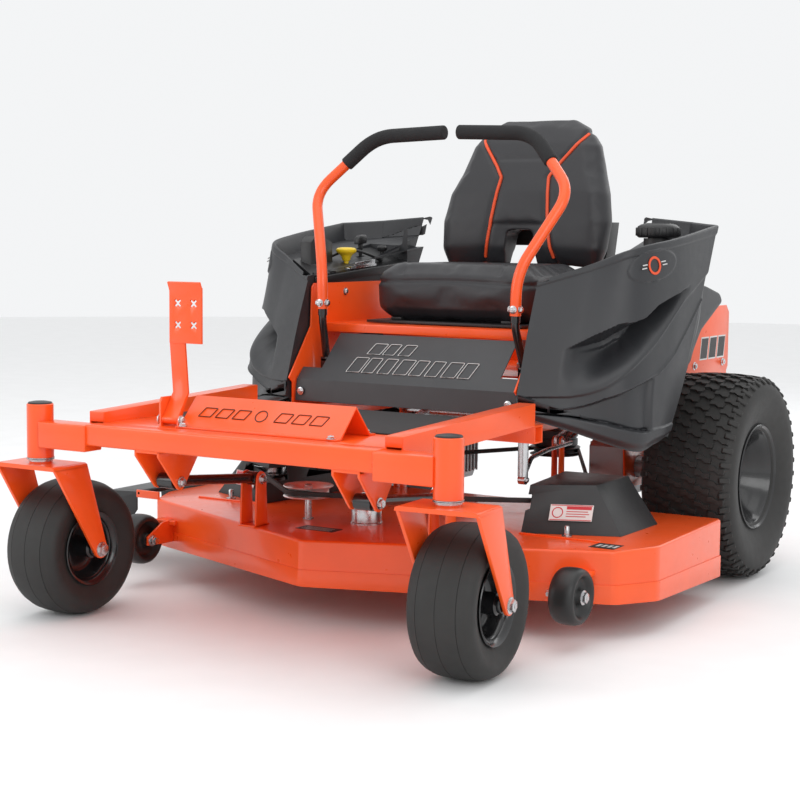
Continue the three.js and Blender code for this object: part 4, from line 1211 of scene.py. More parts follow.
    def _row(self, u: float, row: int, skin: int, drop: float) -> Vector:
        """Return the vertex of one grid row, in metres.

        Args:
            u: Place round the plan.
            row: 0 to 3 inside the bottom, then the skin, then the rim and the tray.
            skin: Rows of the skin.
            drop: Depth of the tray.
        """
        lead = 3
        if row < lead:
            at = self.surface(u, 0.0)
            wall = (6, 6, 2)[row]
            lift = (46, 10, 0)[row]
            return self._pulled(at, wall) + Vector((0, 0, lift * MM))
        if row <= skin + lead:
            at = self.surface(u, 3 * (row - lead) / skin)
            return place(*at)
        step = row - skin - lead
        at = self.surface(u, 3.0)
        wall = (2, 7, 12, 15, 22)[step - 1]
        lift = (3, 4.5, 1, -8, -drop)[step - 1]
        return self._pulled(at, wall) + Vector((0, 0, lift * MM))

    @staticmethod
    def _pulled(at: Vector, by: float) -> Vector:
        """Move a point of the pod towards the pod's middle line by some millimetres."""
        middle = Vector((470, 150 + (at.y - 150) * 0.72, at.z))
        way = Vector((middle.x - at.x, middle.y - at.y, 0))
        return place(*(at + way.normalized() * by))


@dataclass
class Pods:
    """Both side pods with the fuel filler and the console recess."""

    skin: PodSkin = field(default_factory=PodSkin)
    filler: tuple[float, float] = (478, 330)
    recess_floor: tuple = ((340, -82, 787), (340, 402, 825.8), (474, 402, 868.7), (474, -2, 836.4))
    low_rim: tuple = ((-130, 812), (500, 893), (540, 972), (540, 1000), (-130, 1000))
    tank_outline: tuple = ((200, 590), (200, 780), (474, 800), (585, 776), (606, 751), (452, 677),
                           (401, 624), (380, 590))

    def build(self) -> None:
        """Make the pods and the filler cap."""
        for side, sign in SIDES:
            wedge = [place(330, y, z) for y, z in self.low_rim]
            tools = [prism(wedge, Vector((42 * MM, 0, 0)), 0)]
            if sign < 0:
                floor = [place(*p) for p in self.recess_floor]
                tools.append(prism(floor, Vector((0, 0, 200 * MM)), 0))
            shell = carved(self.skin.mesh(48), tools)
            self.tank(side, sign)
            piece(f"pod_{side}", mirrored(shell, sign), POD_PLASTIC, "chassis", [f"fender_{side}"], 32)
        self.filler_neck()
        self.cap()
        self.badges()

    def tank(self, side: str, sign: int) -> None:
        """Make the moulded tank that bulges out behind the pod.

        Args:
            side: left or right.
            sign: 1 for left, -1 for right.
        """
        bm = prism([place(446, y, z) for y, z in self.tank_outline], Vector((114 * MM, 0, 0)), 9, 14)
        piece(f"pod_tank_{side}", mirrored(bm, sign), POD_PLASTIC, "chassis")

    def filler_neck(self) -> None:
        """Make the threaded neck under the cap."""
        x, y = self.filler
        profile = [(30, 850), (38, 850), (38, 884), (41, 886), (41, 890), (38, 893), (38, 897), (41, 900),
                   (41, 904), (38, 907), (38, 925), (30, 925)]
        bm = turned(lathe(profile, 56), "z", place(x, y, 0))
        piece("filler_neck", bm, BLACK_PLASTIC, "chassis")

    def cap(self) -> None:
        """Make the knurled fuel cap with its pointer ridge."""
        x, y = self.filler
        body = lathe([(0, 906), (27, 906), (27, 926), (50, 926), (55, 929), (57, 934), (57, 950),
                      (54, 956), (46, 961), (38, 963), (34, 960), (0, 960)], 72)
        ribs = bmesh.new()
        bmesh.ops.create_cube(ribs, size=1.0)
        ribs.transform(Matrix.Translation(Vector((56, 0, 942)) * MM)
                       @ Matrix.Diagonal((7 * MM, 9 * MM, 22 * MM, 1)))
        soften(ribs, 2, 2)
        repeat_round(ribs, 18)
        ridge = block(Vector((-34, -5, 959)) * MM, Vector((34, 5, 965)) * MM, 2)
        bm = turned(joined([body, ribs, ridge]), "z", place(x, y, 0))
        piece("knurled_fuel_cap", bm, BLACK_PLASTIC, "fuel_cap", ["fuel_cap"])

    def badges(self) -> None:
        """Set a plain ring emblem into the round field of each pod."""
        for side, sign in SIDES:
            u, v = self.skin.badge
            at = self.skin.surface(u, v)
            du = self.skin.point(u + 0.01, v) - self.skin.point(u - 0.01, v)
            dv = self.skin.point(u, v + 0.01) - self.skin.point(u, v - 0.01)
            out = du.cross(dv).normalized()
            turn = Matrix((du.normalized(), out.cross(du).normalized(), out)).transposed().to_4x4()
            seat = Matrix.Translation(place(*(at + out * 0.4))) @ turn
            ring = lathe([(17, 0), (23, 0), (23, 1.4), (17, 1.4)], 56)
            ring.transform(seat)
            piece(f"pod_emblem_{side}", mirrored(ring, sign), PIPING, "chassis")
            bars = [block(Vector((offset, low, 0)) * MM, Vector((offset + wide, low + 3, 1.2)) * MM, 0.4)
                    for offset, wide, low in ((-44, 18, 4), (-48, 18, -4), (26, 18, 4), (30, 18, -4))]
            bm = joined(bars)
            bm.transform(seat)
            piece(f"pod_emblem_bars_{side}", mirrored(bm, sign), LABEL_GREY, "chassis")


# ---------------------------------------------------------------- mower deck


@dataclass
class Deck:
    """The cutting deck with its spindles, pulleys, brackets, covers and chute."""

    top: float = 210
    wall: float = 5
    front_low: float = 100
    skirt_fall: float = 38
    band_share: float = 0.36
    plan: tuple = ((0, -632), (680, -343), (735, -225), (715, 232), (-715, 232), (-735, -225),
                   (-680, -343))
    spindles: tuple = (("left", 462, -112), ("centre", 0, -345), ("right", -462, -112))
    idler: tuple[float, float] = (-150, -383)
    front_links: tuple = (("left", 324), ("right", -216))
    link_rear: tuple[float, float] = (-525, 327)
    link_front: tuple[float, float] = (-852, 360)
    lift: tuple[float, float, float] = (250, 219, 379)
    chute: tuple[float, float, float, float] = (-746, 218, -330, 10)
    scalp: tuple[float, float, float] = (630, -470, 124)

    def build(self) -> None:
        """Make every piece that rides on the deck."""
        self.shell()
        self.band()
        self.brackets()
        self.housings()
        self.pulleys()
        self.blades()
        self.covers()
        self.links()
        self.decals()
        softened("discharge_chute", SATIN_BLACK, "discharge_chute", 1.5)
        softened("deck_belt", BELT, "deck", 0.8)
        softened("lift_shaft", ZINC, "lift_shaft", 0.6)

    def low(self, y: float) -> float:
        """Return the height of the skirt's lower edge at a place along the machine."""
        front, rear = self.plan[0][1], self.plan[3][1]
        return self.front_low - self.skirt_fall * (y - front) / (rear - front)

    def _ring(self, grow: float, height: Callable[[float], float]) -> list[Vector]:
        """Return the deck's plan moved outwards, at heights given by a rule.

        Args:
            grow: Millimetres outwards from the plan.
            height: The height for a place along the machine.
        """
        moved = []
        count = len(self.plan)
        for number, (x, y) in enumerate(self.plan):
            before = Vector(self.plan[number - 1])
            here = Vector((x, y))
            after = Vector(self.plan[(number + 1) % count])
            a, b = (here - before).normalized(), (after - here).normalized()
            normal = (Vector((a.y, -a.x)) + Vector((b.y, -b.x))).normalized()
            share = grow / max(0.3, normal.dot(Vector((a.y, -a.x))))
            at = here + normal * share
            moved.append(place(at.x, at.y, height(at.y)))
        return moved

    def shell(self) -> None:
        """Make the top and the skirt with a rolled edge between them."""
        bm = bmesh.new()
        face = bm.faces.new([bm.verts.new(p) for p in self._ring(0, lambda y: self.top)])
        grown = bmesh.ops.extrude_face_region(bm, geom=[face])
        for vert in (v for v in grown["geom"] if isinstance(v, bmesh.types.BMVert)):
            vert.co.z = self.low(vert.co.y / MM) * MM
        low_face = [f for f in grown["geom"] if isinstance(f, bmesh.types.BMFace)]
        bmesh.ops.delete(bm, geom=low_face, context="FACES_ONLY")
        bmesh.ops.recalc_face_normals(bm, faces=bm.faces)
        if sum(f.normal.z for f in bm.faces) < 0:
            bmesh.ops.reverse_faces(bm, faces=bm.faces)
        corners = [e for e in bm.edges if e.is_manifold and abs(e.verts[0].co.z - e.verts[1].co.z) > 0.05]
        bevel(bm, corners, 14, 6)
        rolled = [e for e in bm.edges if e.is_manifold and min(v.co.z for v in e.verts) > (self.top - 1) * MM]
        bevel(bm, rolled, 7, 5)
        bmesh.ops.solidify(bm, geom=bm.faces[:], thickness=self.wall * MM)
        bmesh.ops.recalc_face_normals(bm, faces=bm.faces)
        x, _, front, rear = self.chute
        tool = block(place(x - 30, front, 20), place(-690, rear, 186), 0)
        piece("deck_skin", carved(bm, [tool]), ORANGE, "deck", ["deck_shell"], 30)

    def band(self) -> None:
        """Weld the reinforcing band round the lower skirt."""
        def upper(y: float) -> float:
            """Return the band's upper edge at a place along the machine."""
            return self.low(y) + (self.top - self.low(y)) * self.band_share

        outer = bmesh.new()
        face = outer.faces.new([outer.verts.new(p) for p in self._ring(2.4, upper)])
        grown = bmesh.ops.extrude_face_region(outer, geom=[face])
        for vert in (v for v in grown["geom"] if isinstance(v, bmesh.types.BMVert)):
            vert.co.z = (self.low(vert.co.y / MM) - 1) * MM
        bmesh.ops.recalc_face_normals(outer, faces=outer.faces)
        corners = [e for e in outer.edges if abs(e.verts[0].co.z - e.verts[1].co.z) > 0.03]
        bevel(outer, corners, 14, 6)
        core = bmesh.new()
        face = core.faces.new([core.verts.new(p + Vector((0, 0, 0.05))) for p in self._ring(-2, upper)])
        grown = bmesh.ops.extrude_face_region(core, geom=[face])
        down = [v for v in grown["geom"] if isinstance(v, bmesh.types.BMVert)]
        bmesh.ops.translate(core, verts=down, vec=(0, 0, -0.3))
        bmesh.ops.recalc_face_normals(core, faces=core.faces)
        x, _, front, rear = self.chute
        mouth = block(place(x - 30, front - 4, 20), place(-640, rear + 4, 200), 0)
        bm = carved(carved(outer, [core]), [mouth])
        soften(bm, 0.8, 2, 60)
        piece("skirt_band", bm, ORANGE, "deck", angle=30)

    def _upright(self, x: float, y: float, z: float, foot: float, head: float) -> bmesh.types.BMesh:
        """Return a round-topped plate that stands on the deck.

        Args:
            x: Its lower face in millimetres.
            y: Its middle.
            z: The height of its hole.
            foot: Half its width at the deck.
            head: Its radius round the hole.
        """
        arc = [(y + head * math.cos(a), z + head * math.sin(a))
               for a in (math.radians(d) for d in range(0, 181, 20))]
        outline = [(y - foot, 209), (y + foot, 209)] + arc
        return prism([place(x, py, pz) for py, pz in outline], Vector((5 * MM, 0, 0)), 1.0)

    def brackets(self) -> None:
        """Stand the link brackets, the lift ears and the roller arms on the deck."""
        parts = []
        for _, x in self.front_links:
            y, z = self.link_rear
            parts.extend(self._upright(x + dx, y, z, 25, 19) for dx in (-25, 20))
            parts.append(block(place(x - 25, y - 32, 209), place(x + 25, y + 32, 214), 1.5))
        lx, ly, lz = self.lift
        for sign in (1, -1):
            parts.extend(self._upright(sign * lx + dx, ly, lz, 16, 13) for dx in (-13, 8))
            sx, sy, sz = self.scalp
            arm = [(sy - 17, sz - 12), (sy - 17, sz + 10), (-424, sz + 42), (-366, sz + 42),
                   (-366, sz - 16), (-424, sz - 16)]
            plate = prism([place(sx - 42, y, z) for y, z in arm], Vector((6 * MM, 0, 0)), 1.2)
            parts.append(mirrored(plate, sign))
            brace = block(place(sx - 60, -400, sz + 30), place(sx + 10, -366, sz + 42), 2)
            parts.append(mirrored(brace, sign))
            edge = block(place(386, -262, 209), place(600, -254, 214), 2)
            parts.append(mirrored(edge, sign))
        x, z, front, rear = self.chute
        for y0 in (front - 8, rear + 2):
            parts.append(block(place(x - 9, y0, 206), place(-676, y0 + 6, z + 9), 1.5))
        piece("deck_brackets", joined(parts), ORANGE, "deck")
        pins = []
        for _, x in self.front_links:
            y, z = self.link_rear
            pins.append(bolt(place(x + 25, y, z), "x", 10, 8))
            pins.append(bolt(place(x - 25, y, z), "-x", 10, 8))
            pins.append(round_bar(8, -24, 24, 20, "x", place(x, y, z)))
        for sign in (1, -1):
            pins.append(round_bar(6, -14, 14, 20, "x", place(sign * lx, ly, lz)))
            pins.append(bolt(place(sign * lx + 13, ly, lz), "x", 8, 6))
        x, z, front, rear = self.chute
        pins.append(round_bar(3.6, front - 8, rear + 8, 16, "y", place(x, 0, z)))
        piece("deck_hardware", joined(pins), ZINC, "deck")

    def housings(self) -> None:
        """Make the cast spindle housings with their bolts and the idler's stud."""
        parts = []
        zincs = []
        wall = [(18, 168), (48, 168), (52, 172), (52, 200), (62, 204), (68, 208), (68, 216), (60, 219),
                (44, 222), (38, 226), (37, 258), (34, 262), (18, 262)]
        for name, x, y in self.spindles:
            if name == "centre":
                machined = [(18, 168), (40, 172), (40, 214), (38, 216), (38, 258), (35, 262), (18, 262)]
                zincs.append(turned(lathe(machined, 56), "z", place(x, y, 0)))
                continue
            parts.append(turned(lathe(wall, 56), "z", place(x, y, 0)))
            for k in range(6):
                angle = math.pi / 3 * k + 0.3
                zincs.append(bolt(place(x + 58 * math.cos(angle), y + 58 * math.sin(angle), 217), "z", 6, 5))
            nipple = lathe([(0, 36), (4, 36), (4, 42), (2.6, 44), (3.4, 47), (2, 50), (0, 50)], 14)
            zincs.append(turned(nipple, "-y", place(x, y, 242)))
        piece("spindle_housings", joined(parts), CAST, "deck")
        x, y = self.idler
        stud = [(0, 206), (9, 206), (9, 211), (14, 212), (14, 214), (9, 215), (8.6, 300), (0, 300)]
        zincs.append(turned(lathe(stud, 28), "z", place(x, y, 0)))
        piece("spindle_bolts", joined(zincs), ZINC, "deck")

    @staticmethod
    def _sheave(radius: float, bore: float) -> list[tuple[float, float]]:
        """Return the profile of a grooved pulley at the belt's height."""
        return [(bore, 271), (radius - 14, 271), (radius - 12, 273), (radius - 1.5, 271.5),
                (radius, 272.5), (radius, 274), (radius - 12, 278), (radius - 12, 290), (radius, 294),
                (radius, 295.5), (radius - 1.5, 296.5), (radius - 12, 295), (radius - 14, 297),
                (bore, 297)]

    def pulleys(self) -> None:
        """Make the spindle pulleys, the idler and the engine's clutch pulley."""
        for name, x, y in self.spindles:
            shaft = lathe([(0, 116), (15, 116), (15, 312), (9, 316), (0, 316)], 28)
            nut = lathe([(0, 296), (21, 296), (21, 307), (17, 309), (0, 309)], 6)
            bm = turned(joined([shaft, nut, lathe(self._sheave(52, 0), 56)]), "z", place(x, y, 0))
            piece(f"spindle_pulley_{name}", bm, ZINC, f"blade_{name}", [f"spindle_{name}"])
        x, y = self.idler
        dish = [(9.4, 273), (52, 273), (60, 271), (63, 270), (64, 271.5), (63, 273), (53, 277),
                (52, 279), (52, 289), (53, 291), (63, 295.5), (64, 297), (63, 298.5), (58, 297),
                (46, 289), (42, 283), (34, 281), (22, 282), (20, 286), (9.4, 286)]
        bm = turned(joined([lathe(dish, 80), lathe([(0, 285), (12, 285), (12, 296), (9, 299), (0, 299)], 6)]),
                    "z", place(x, y, 0))
        piece("idler_sheave", bm, BRIGHT, "idler_pulley", ["idler_pulley"])
        clutch = [(0, 300), (66, 300), (68, 304), (68, 320), (64, 322), (64, 326), (68, 328), (68, 348),
                  (60, 352), (18, 352), (17, 524), (0, 524)]
        bm = turned(joined([lathe(self._sheave(76, 0), 72), lathe(clutch, 64)]), "z", place(0, 705, 0))
        piece("clutch_pulley", bm, BLADE_STEEL, "drive_pulley", ["drive_pulley"])

    def blades(self) -> None:
        """Make the three blades with sharpened edges and raised tails."""
        for name, _, _ in self.spindles:
            softened(f"blade_{name}", BLADE_STEEL, f"blade_{name}", 0.8)

    def covers(self) -> None:
        """Make the belt covers with a plain label and their hold-down bolts."""
        for side, sign in SIDES:
            softened(f"belt_cover_{side}", SATIN_BLACK, "deck", 2.2)
            a, b = place(430, -236, 222), place(574, -174, 222)
            lean = Vector((0, 24, 72)).normalized()
            along = (b - a).normalized()
            out = along.cross(lean).normalized()
            card = Matrix((along, lean, out)).transposed().to_4x4()
            middle = place(492, -193, 262)
            plate = block(Vector((-52, -20, 0)) * MM, Vector((52, 20, 0.6)) * MM, 0)
            plate.transform(Matrix.Translation(middle) @ card)
            piece(f"cover_label_{side}", mirrored(plate, sign), LABEL_WHITE, "deck")
            marks = [lathe([(11, 0.5), (13.5, 0.5), (13.5, 1.1), (11, 1.1)], 32)]
            marks[0].transform(Matrix.Translation(Vector((-33, 0, 0)) * MM))
            for low, high, start, end in ((8, 16, -12, 48), (2, 4, -12, 40), (-4, -2, -12, 44),
                                          (-10, -8, -12, 36), (-19, -17, -50, 50), (17, 19, -50, 50)):
                marks.append(block(Vector((start, low, 0.5)) * MM, Vector((end, high, 1.0)) * MM, 0))
            bm = joined(marks)
            bm.transform(Matrix.Translation(middle) @ card)
            piece(f"cover_label_marks_{side}", mirrored(bm, sign), LABEL_RED, "deck")
            knob = lathe([(0, 0), (13, 0), (13, 2), (7, 3), (7, 22), (5, 25), (0, 25)], 24)
            bm = turned(knob, "z", place(504, -240, 213))
            piece(f"cover_bolt_{side}", mirrored(bm, sign), ZINC, "deck")

    def links(self) -> None:
        """Make the two black links that carry the deck's front."""
        for name, x in self.front_links:
            (y0, z0), (y1, z1) = self.link_front, self.link_rear
            arm = tube([place(x, y0, z0), place(x, (y0 + y1) / 2, (z0 + z1) / 2), place(x, y1, z1)],
                       12.5, 20, 24)
            eyes = [turned(lathe([(6.8, -w), (r - 1, -w), (r, 1 - w), (r, w - 1), (r - 1, w), (6.8, w)],
                                 36), "x", place(x, y, z))
                    for y, z, r, w in ((y0, z0, 18, 22), (y1, z1, 17, 15))]
            piece(f"deck_arm_{name}", joined([arm] + eyes), GLOSS_BLACK, f"deck_link_{name}",
                  [f"deck_link_{name}"])

    def decals(self) -> None:
        """Lay two plain dark plates with pale lines on the deck."""
        near = block(place(600, -322, 210.1), place(664, -262, 210.7), 0)
        far = block(place(-104, -505, 210.1), place(4, -457, 210.7), 0)
        piece("deck_plates", joined([near, far]), SATIN_BLACK, "deck")
        lines = [block(place(610 + k * 14, -306, 210.6), place(618 + k * 14, -278, 211), 0)
                 for k in range(4)]
        lines += [block(place(-92, -497 + k * 12, 210.6), place(-10, -494 + k * 12, 211), 0)
                  for k in range(3)]
        piece("deck_plate_lines", joined(lines), LABEL_GREY, "deck")


# ---------------------------------------------------------------- seat


@dataclass
class Seat:
    """The seat's cushion, back, piping and bracket."""

    arm_top: float = 968
    back_rings: tuple = ((252, 450, 504, 838, 24), (272, 430, 526, 890, 36), (278, 440, 545, 970, 40),
                         (262, 458, 566, 1050, 40), (238, 482, 590, 1112, 40), (212, 512, 606, 1190, 36),
                         (172, 538, 610, 1240, 28), (116, 562, 606, 1270, 18))

    def build(self) -> None:
        """Make the bracket, the cushion, the back and their trim."""
        tops = block(place(-260, 540, self.arm_top), place(260, 660, self.arm_top + 90), 0)
        arms = carved(node_mesh("seat_bracket", 0), [tops])
        soften(arms, 1.5, 2)
        piece("seat_bracket_sheet", arms, SATIN_BLACK, "seat", ["seat_bracket"])
        self.cushion()
        self.back()
        self.tracks()

    @staticmethod
    def _stack(rings: Sequence[tuple[float, float, float, float, float]],
               steps: int = 6) -> bmesh.types.BMesh:
        """Bridge rounded rectangles into a closed form.

        Args:
            rings: Half width, front, rear, height and corner radius of each level; the
                radius is kept under half the depth.
            steps: Steps round each corner.
        """
        bm = bmesh.new()
        loops = []
        for half, front, rear, height, radius in rings:
            corner = min(radius, (rear - front) / 2 - 2)
            verts = []
            for sx, sy, start in ((1, 1, 0), (-1, 1, 90), (-1, -1, 180), (1, -1, 270)):
                for k in range(steps + 1):
                    a = math.radians(start + 90 * k / steps)
                    verts.append(bm.verts.new(place(
                        sx * (half - corner) + corner * math.cos(a),
                        (front + rear) / 2 + sy * ((rear - front) / 2 - corner) + corner * math.sin(a),
                        height)))
            loops.append([bm.edges.new((a, b)) for a, b in zip(verts, verts[1:] + verts[:1])])
        for below, above in zip(loops, loops[1:]):
            bmesh.ops.bridge_loops(bm, edges=below + above)
        bmesh.ops.holes_fill(bm, edges=[e for e in bm.edges if e.is_boundary])
        bmesh.ops.recalc_face_normals(bm, faces=bm.faces)
        return bm

    @staticmethod
    def _inflate(made: bpy.types.Object, voxel: float, cap: float, pressure: float = 4.0) -> None:
        """Swell a pad by cloth pressure and cap how far each point moves.

        Args:
            made: The pad, changed in place.
            voxel: Remesh size in millimetres.
            cap: Largest move in millimetres.
            pressure: Pressure inside the pad.
        """
        view = bpy.context.view_layer
        for other in bpy.context.selected_objects:
            other.select_set(False)
        made.select_set(True)
        view.objects.active = made
        made.data.remesh_voxel_size = voxel * MM
        with bpy.context.temp_override(object=made, active_object=made):
            bpy.ops.object.voxel_remesh()
        before = [v.co.copy() for v in made.data.vertices]
        cloth = made.modifiers.new("cloth", "CLOTH")
        cloth.settings.use_pressure = True
        cloth.settings.uniform_pressure_force = pressure
        cloth.settings.effector_weights.gravity = 0
        cloth.settings.quality = 4
        scene = bpy.context.scene
        for number in range(1, 21):
            scene.frame_set(number)
        view.update()
        shape = made.evaluated_get(bpy.context.evaluated_depsgraph_get())
        after = [v.co.copy() for v in shape.data.vertices]
        made.modifiers.remove(cloth)
        scene.frame_set(1)
        for vert, old, new in zip(made.data.vertices, before, after):
            move = new - old
            if move.length > cap * MM:
                move = move.normalized() * cap * MM
            vert.co = old + move
        bm = bmesh.new()
        bm.from_mesh(made.data)
        for _ in range(4):
            bmesh.ops.smooth_vert(bm, verts=bm.verts, factor=0.5, use_axis_x=True, use_axis_y=True,
                                  use_axis_z=True)
        for face in bm.faces:
            face.smooth = True
        bm.to_mesh(made.data)
        bm.free()

    @staticmethod
    def _groove(made: bpy.types.Object, inside: Callable[[Vector], float], depth: float,
                wide: float) -> None:
        """Pull a sewn channel into a pad.

        Args:
            made: The pad.
            inside: The distance from the seam in millimetres, for a point in millimetres.
            depth: Depth of the channel in millimetres.
            wide: Its half width in millimetres.
        """
        mesh = made.data
        normals = [v.normal.copy() for v in mesh.vertices]
        for vert, normal in zip(mesh.vertices, normals):
            at = Vector(((vert.co.x - SHIFT) / MM, vert.co.y / MM, vert.co.z / MM))
            gap = inside(at)
            vert.co -= normal * depth * MM * math.exp(-(gap / wide) ** 2)

    def cushion(self) -> None:
        """Make the cushion, with a seam round its edge and one across its top."""
        rings = [(222, 56, 430, 706, 50), (244, 36, 438, 730, 60), (248, 32, 440, 800, 64),
                 (240, 40, 434, 824, 60), (214, 66, 410, 840, 54)]
        made = piece("cushion_pad", self._stack(rings), VINYL, "seat", ["seat_cushion"], 180)
        self._inflate(made, 6, 12)
        self._groove(made, lambda p: p.z - 802 - 5 * math.cos(p.x / 110), 6, 5)
        self._groove(made, lambda p: 99 if p.z < 822 else p.y - 150, 2.5, 6)
        self._groove(made, lambda p: 99 if p.z < 822 else abs(p.x) - 150, 3.0, 7)
        made.data.update()
        self._trim("cushion_piping", [[(253, 190), (257, 290), (252, 390), (210, 440)]], 807)

    def _trim(self, name: str, lines: Sequence[Sequence[tuple[float, float]]], height: float) -> None:
        """Sew piping along both sides of the cushion.

        Args:
            name: The piece's name.
            lines: Routes of (x, y) in millimetres.
            height: Their height.
        """
        parts = []
        for line in lines:
            for sign in (1, -1):
                parts.append(mirrored(tube([place(x, y, height) for x, y in line], 3.0, 30, 12), sign))
        piece(name, joined(parts), PIPING, "seat")

    def back(self) -> None:
        """Make the high back with bolsters, a waist, and an opening low in the middle."""
        rings = [(h - 3, f + 10, r - 8, z, c) for h, f, r, z, c in self.back_rings]
        rings[-1] = (114, 568, 602, 1268, 12)
        made = piece("back_pad", self._back_mesh(rings), VINYL, "seat", ["seat_back"], 180)
        self._inflate(made, 6, 10)
        front = self._front_face
        self._groove(made, lambda p: 99 if not front(p) else abs(p.x) - self._kink(p.z), 7, 9)
        self._groove(made, lambda p: 99 if not front(p) or abs(p.x) > self._kink(p.z) else p.z - 1150, 3, 7)
        self._groove(made, lambda p: 99 if not front(p) or abs(p.x) > self._kink(p.z) else p.z - 960, 3, 7)
        made.data.update()
        lines = []
        for sign in (1, -1):
            route = []
            for k in range(25):
                z = 866 + (1232 - 866) * k / 24
                route.append(self._front_point(made, sign * self._kink(z), z))
            lines.append(tube([p for p in route if p], 4.8, 5, 12))
        piece("back_piping", joined(lines), PIPING, "seat")

    def _back_mesh(self, rings: Sequence[tuple]) -> bmesh.types.BMesh:
        """Return the back before it is padded, with its lower opening cut."""
        bm = self._stack(rings)
        tool = prism([place(x, 380, z) for x, z in ((-62, 810), (62, 810), (44, 922), (34, 936),
                                                   (-34, 936), (-44, 922))],
                     Vector((0, 260 * MM, 0)), 0)
        return carved(bm, [tool])

    @staticmethod
    def _kink(z: float) -> float:
        """Return the piping's distance from the middle at a height, in millimetres."""
        route = ((840, 117), (900, 101), (960, 92), (1030, 84), (1095, 76), (1125, 96), (1205, 160),
                 (1250, 178))
        for (z0, x0), (z1, x1) in zip(route, route[1:]):
            if z <= z1:
                return x0 + (x1 - x0) * (z - z0) / (z1 - z0)
        return route[-1][1]

    @staticmethod
    def _front_face(at: Vector) -> bool:
        """Tell whether a point of the back lies on its front half."""
        middle = 478 + 0.33 * max(0.0, at.z - 850)
        return at.y < middle + 12

    @staticmethod
    def _front_point(made: bpy.types.Object, x: float, z: float) -> Vector | None:
        """Return the point of the pad's front at a place, a little proud of it."""
        hit, at, _, _ = made.ray_cast(place(x, 200, z), Vector((0, 1, 0)))
        return at + Vector((0, -2.2 * MM, 0)) if hit else None

    def tracks(self) -> None:
        """Make the seat's slide rails."""
        parts = []
        for x in (-170, 170):
            parts.append(block(place(x - 16, 60, 697), place(x + 16, 440, 705), 2))
        piece("seat_rails", joined(parts), SATIN_BLACK, "seat")


# ---------------------------------------------------------------- controls


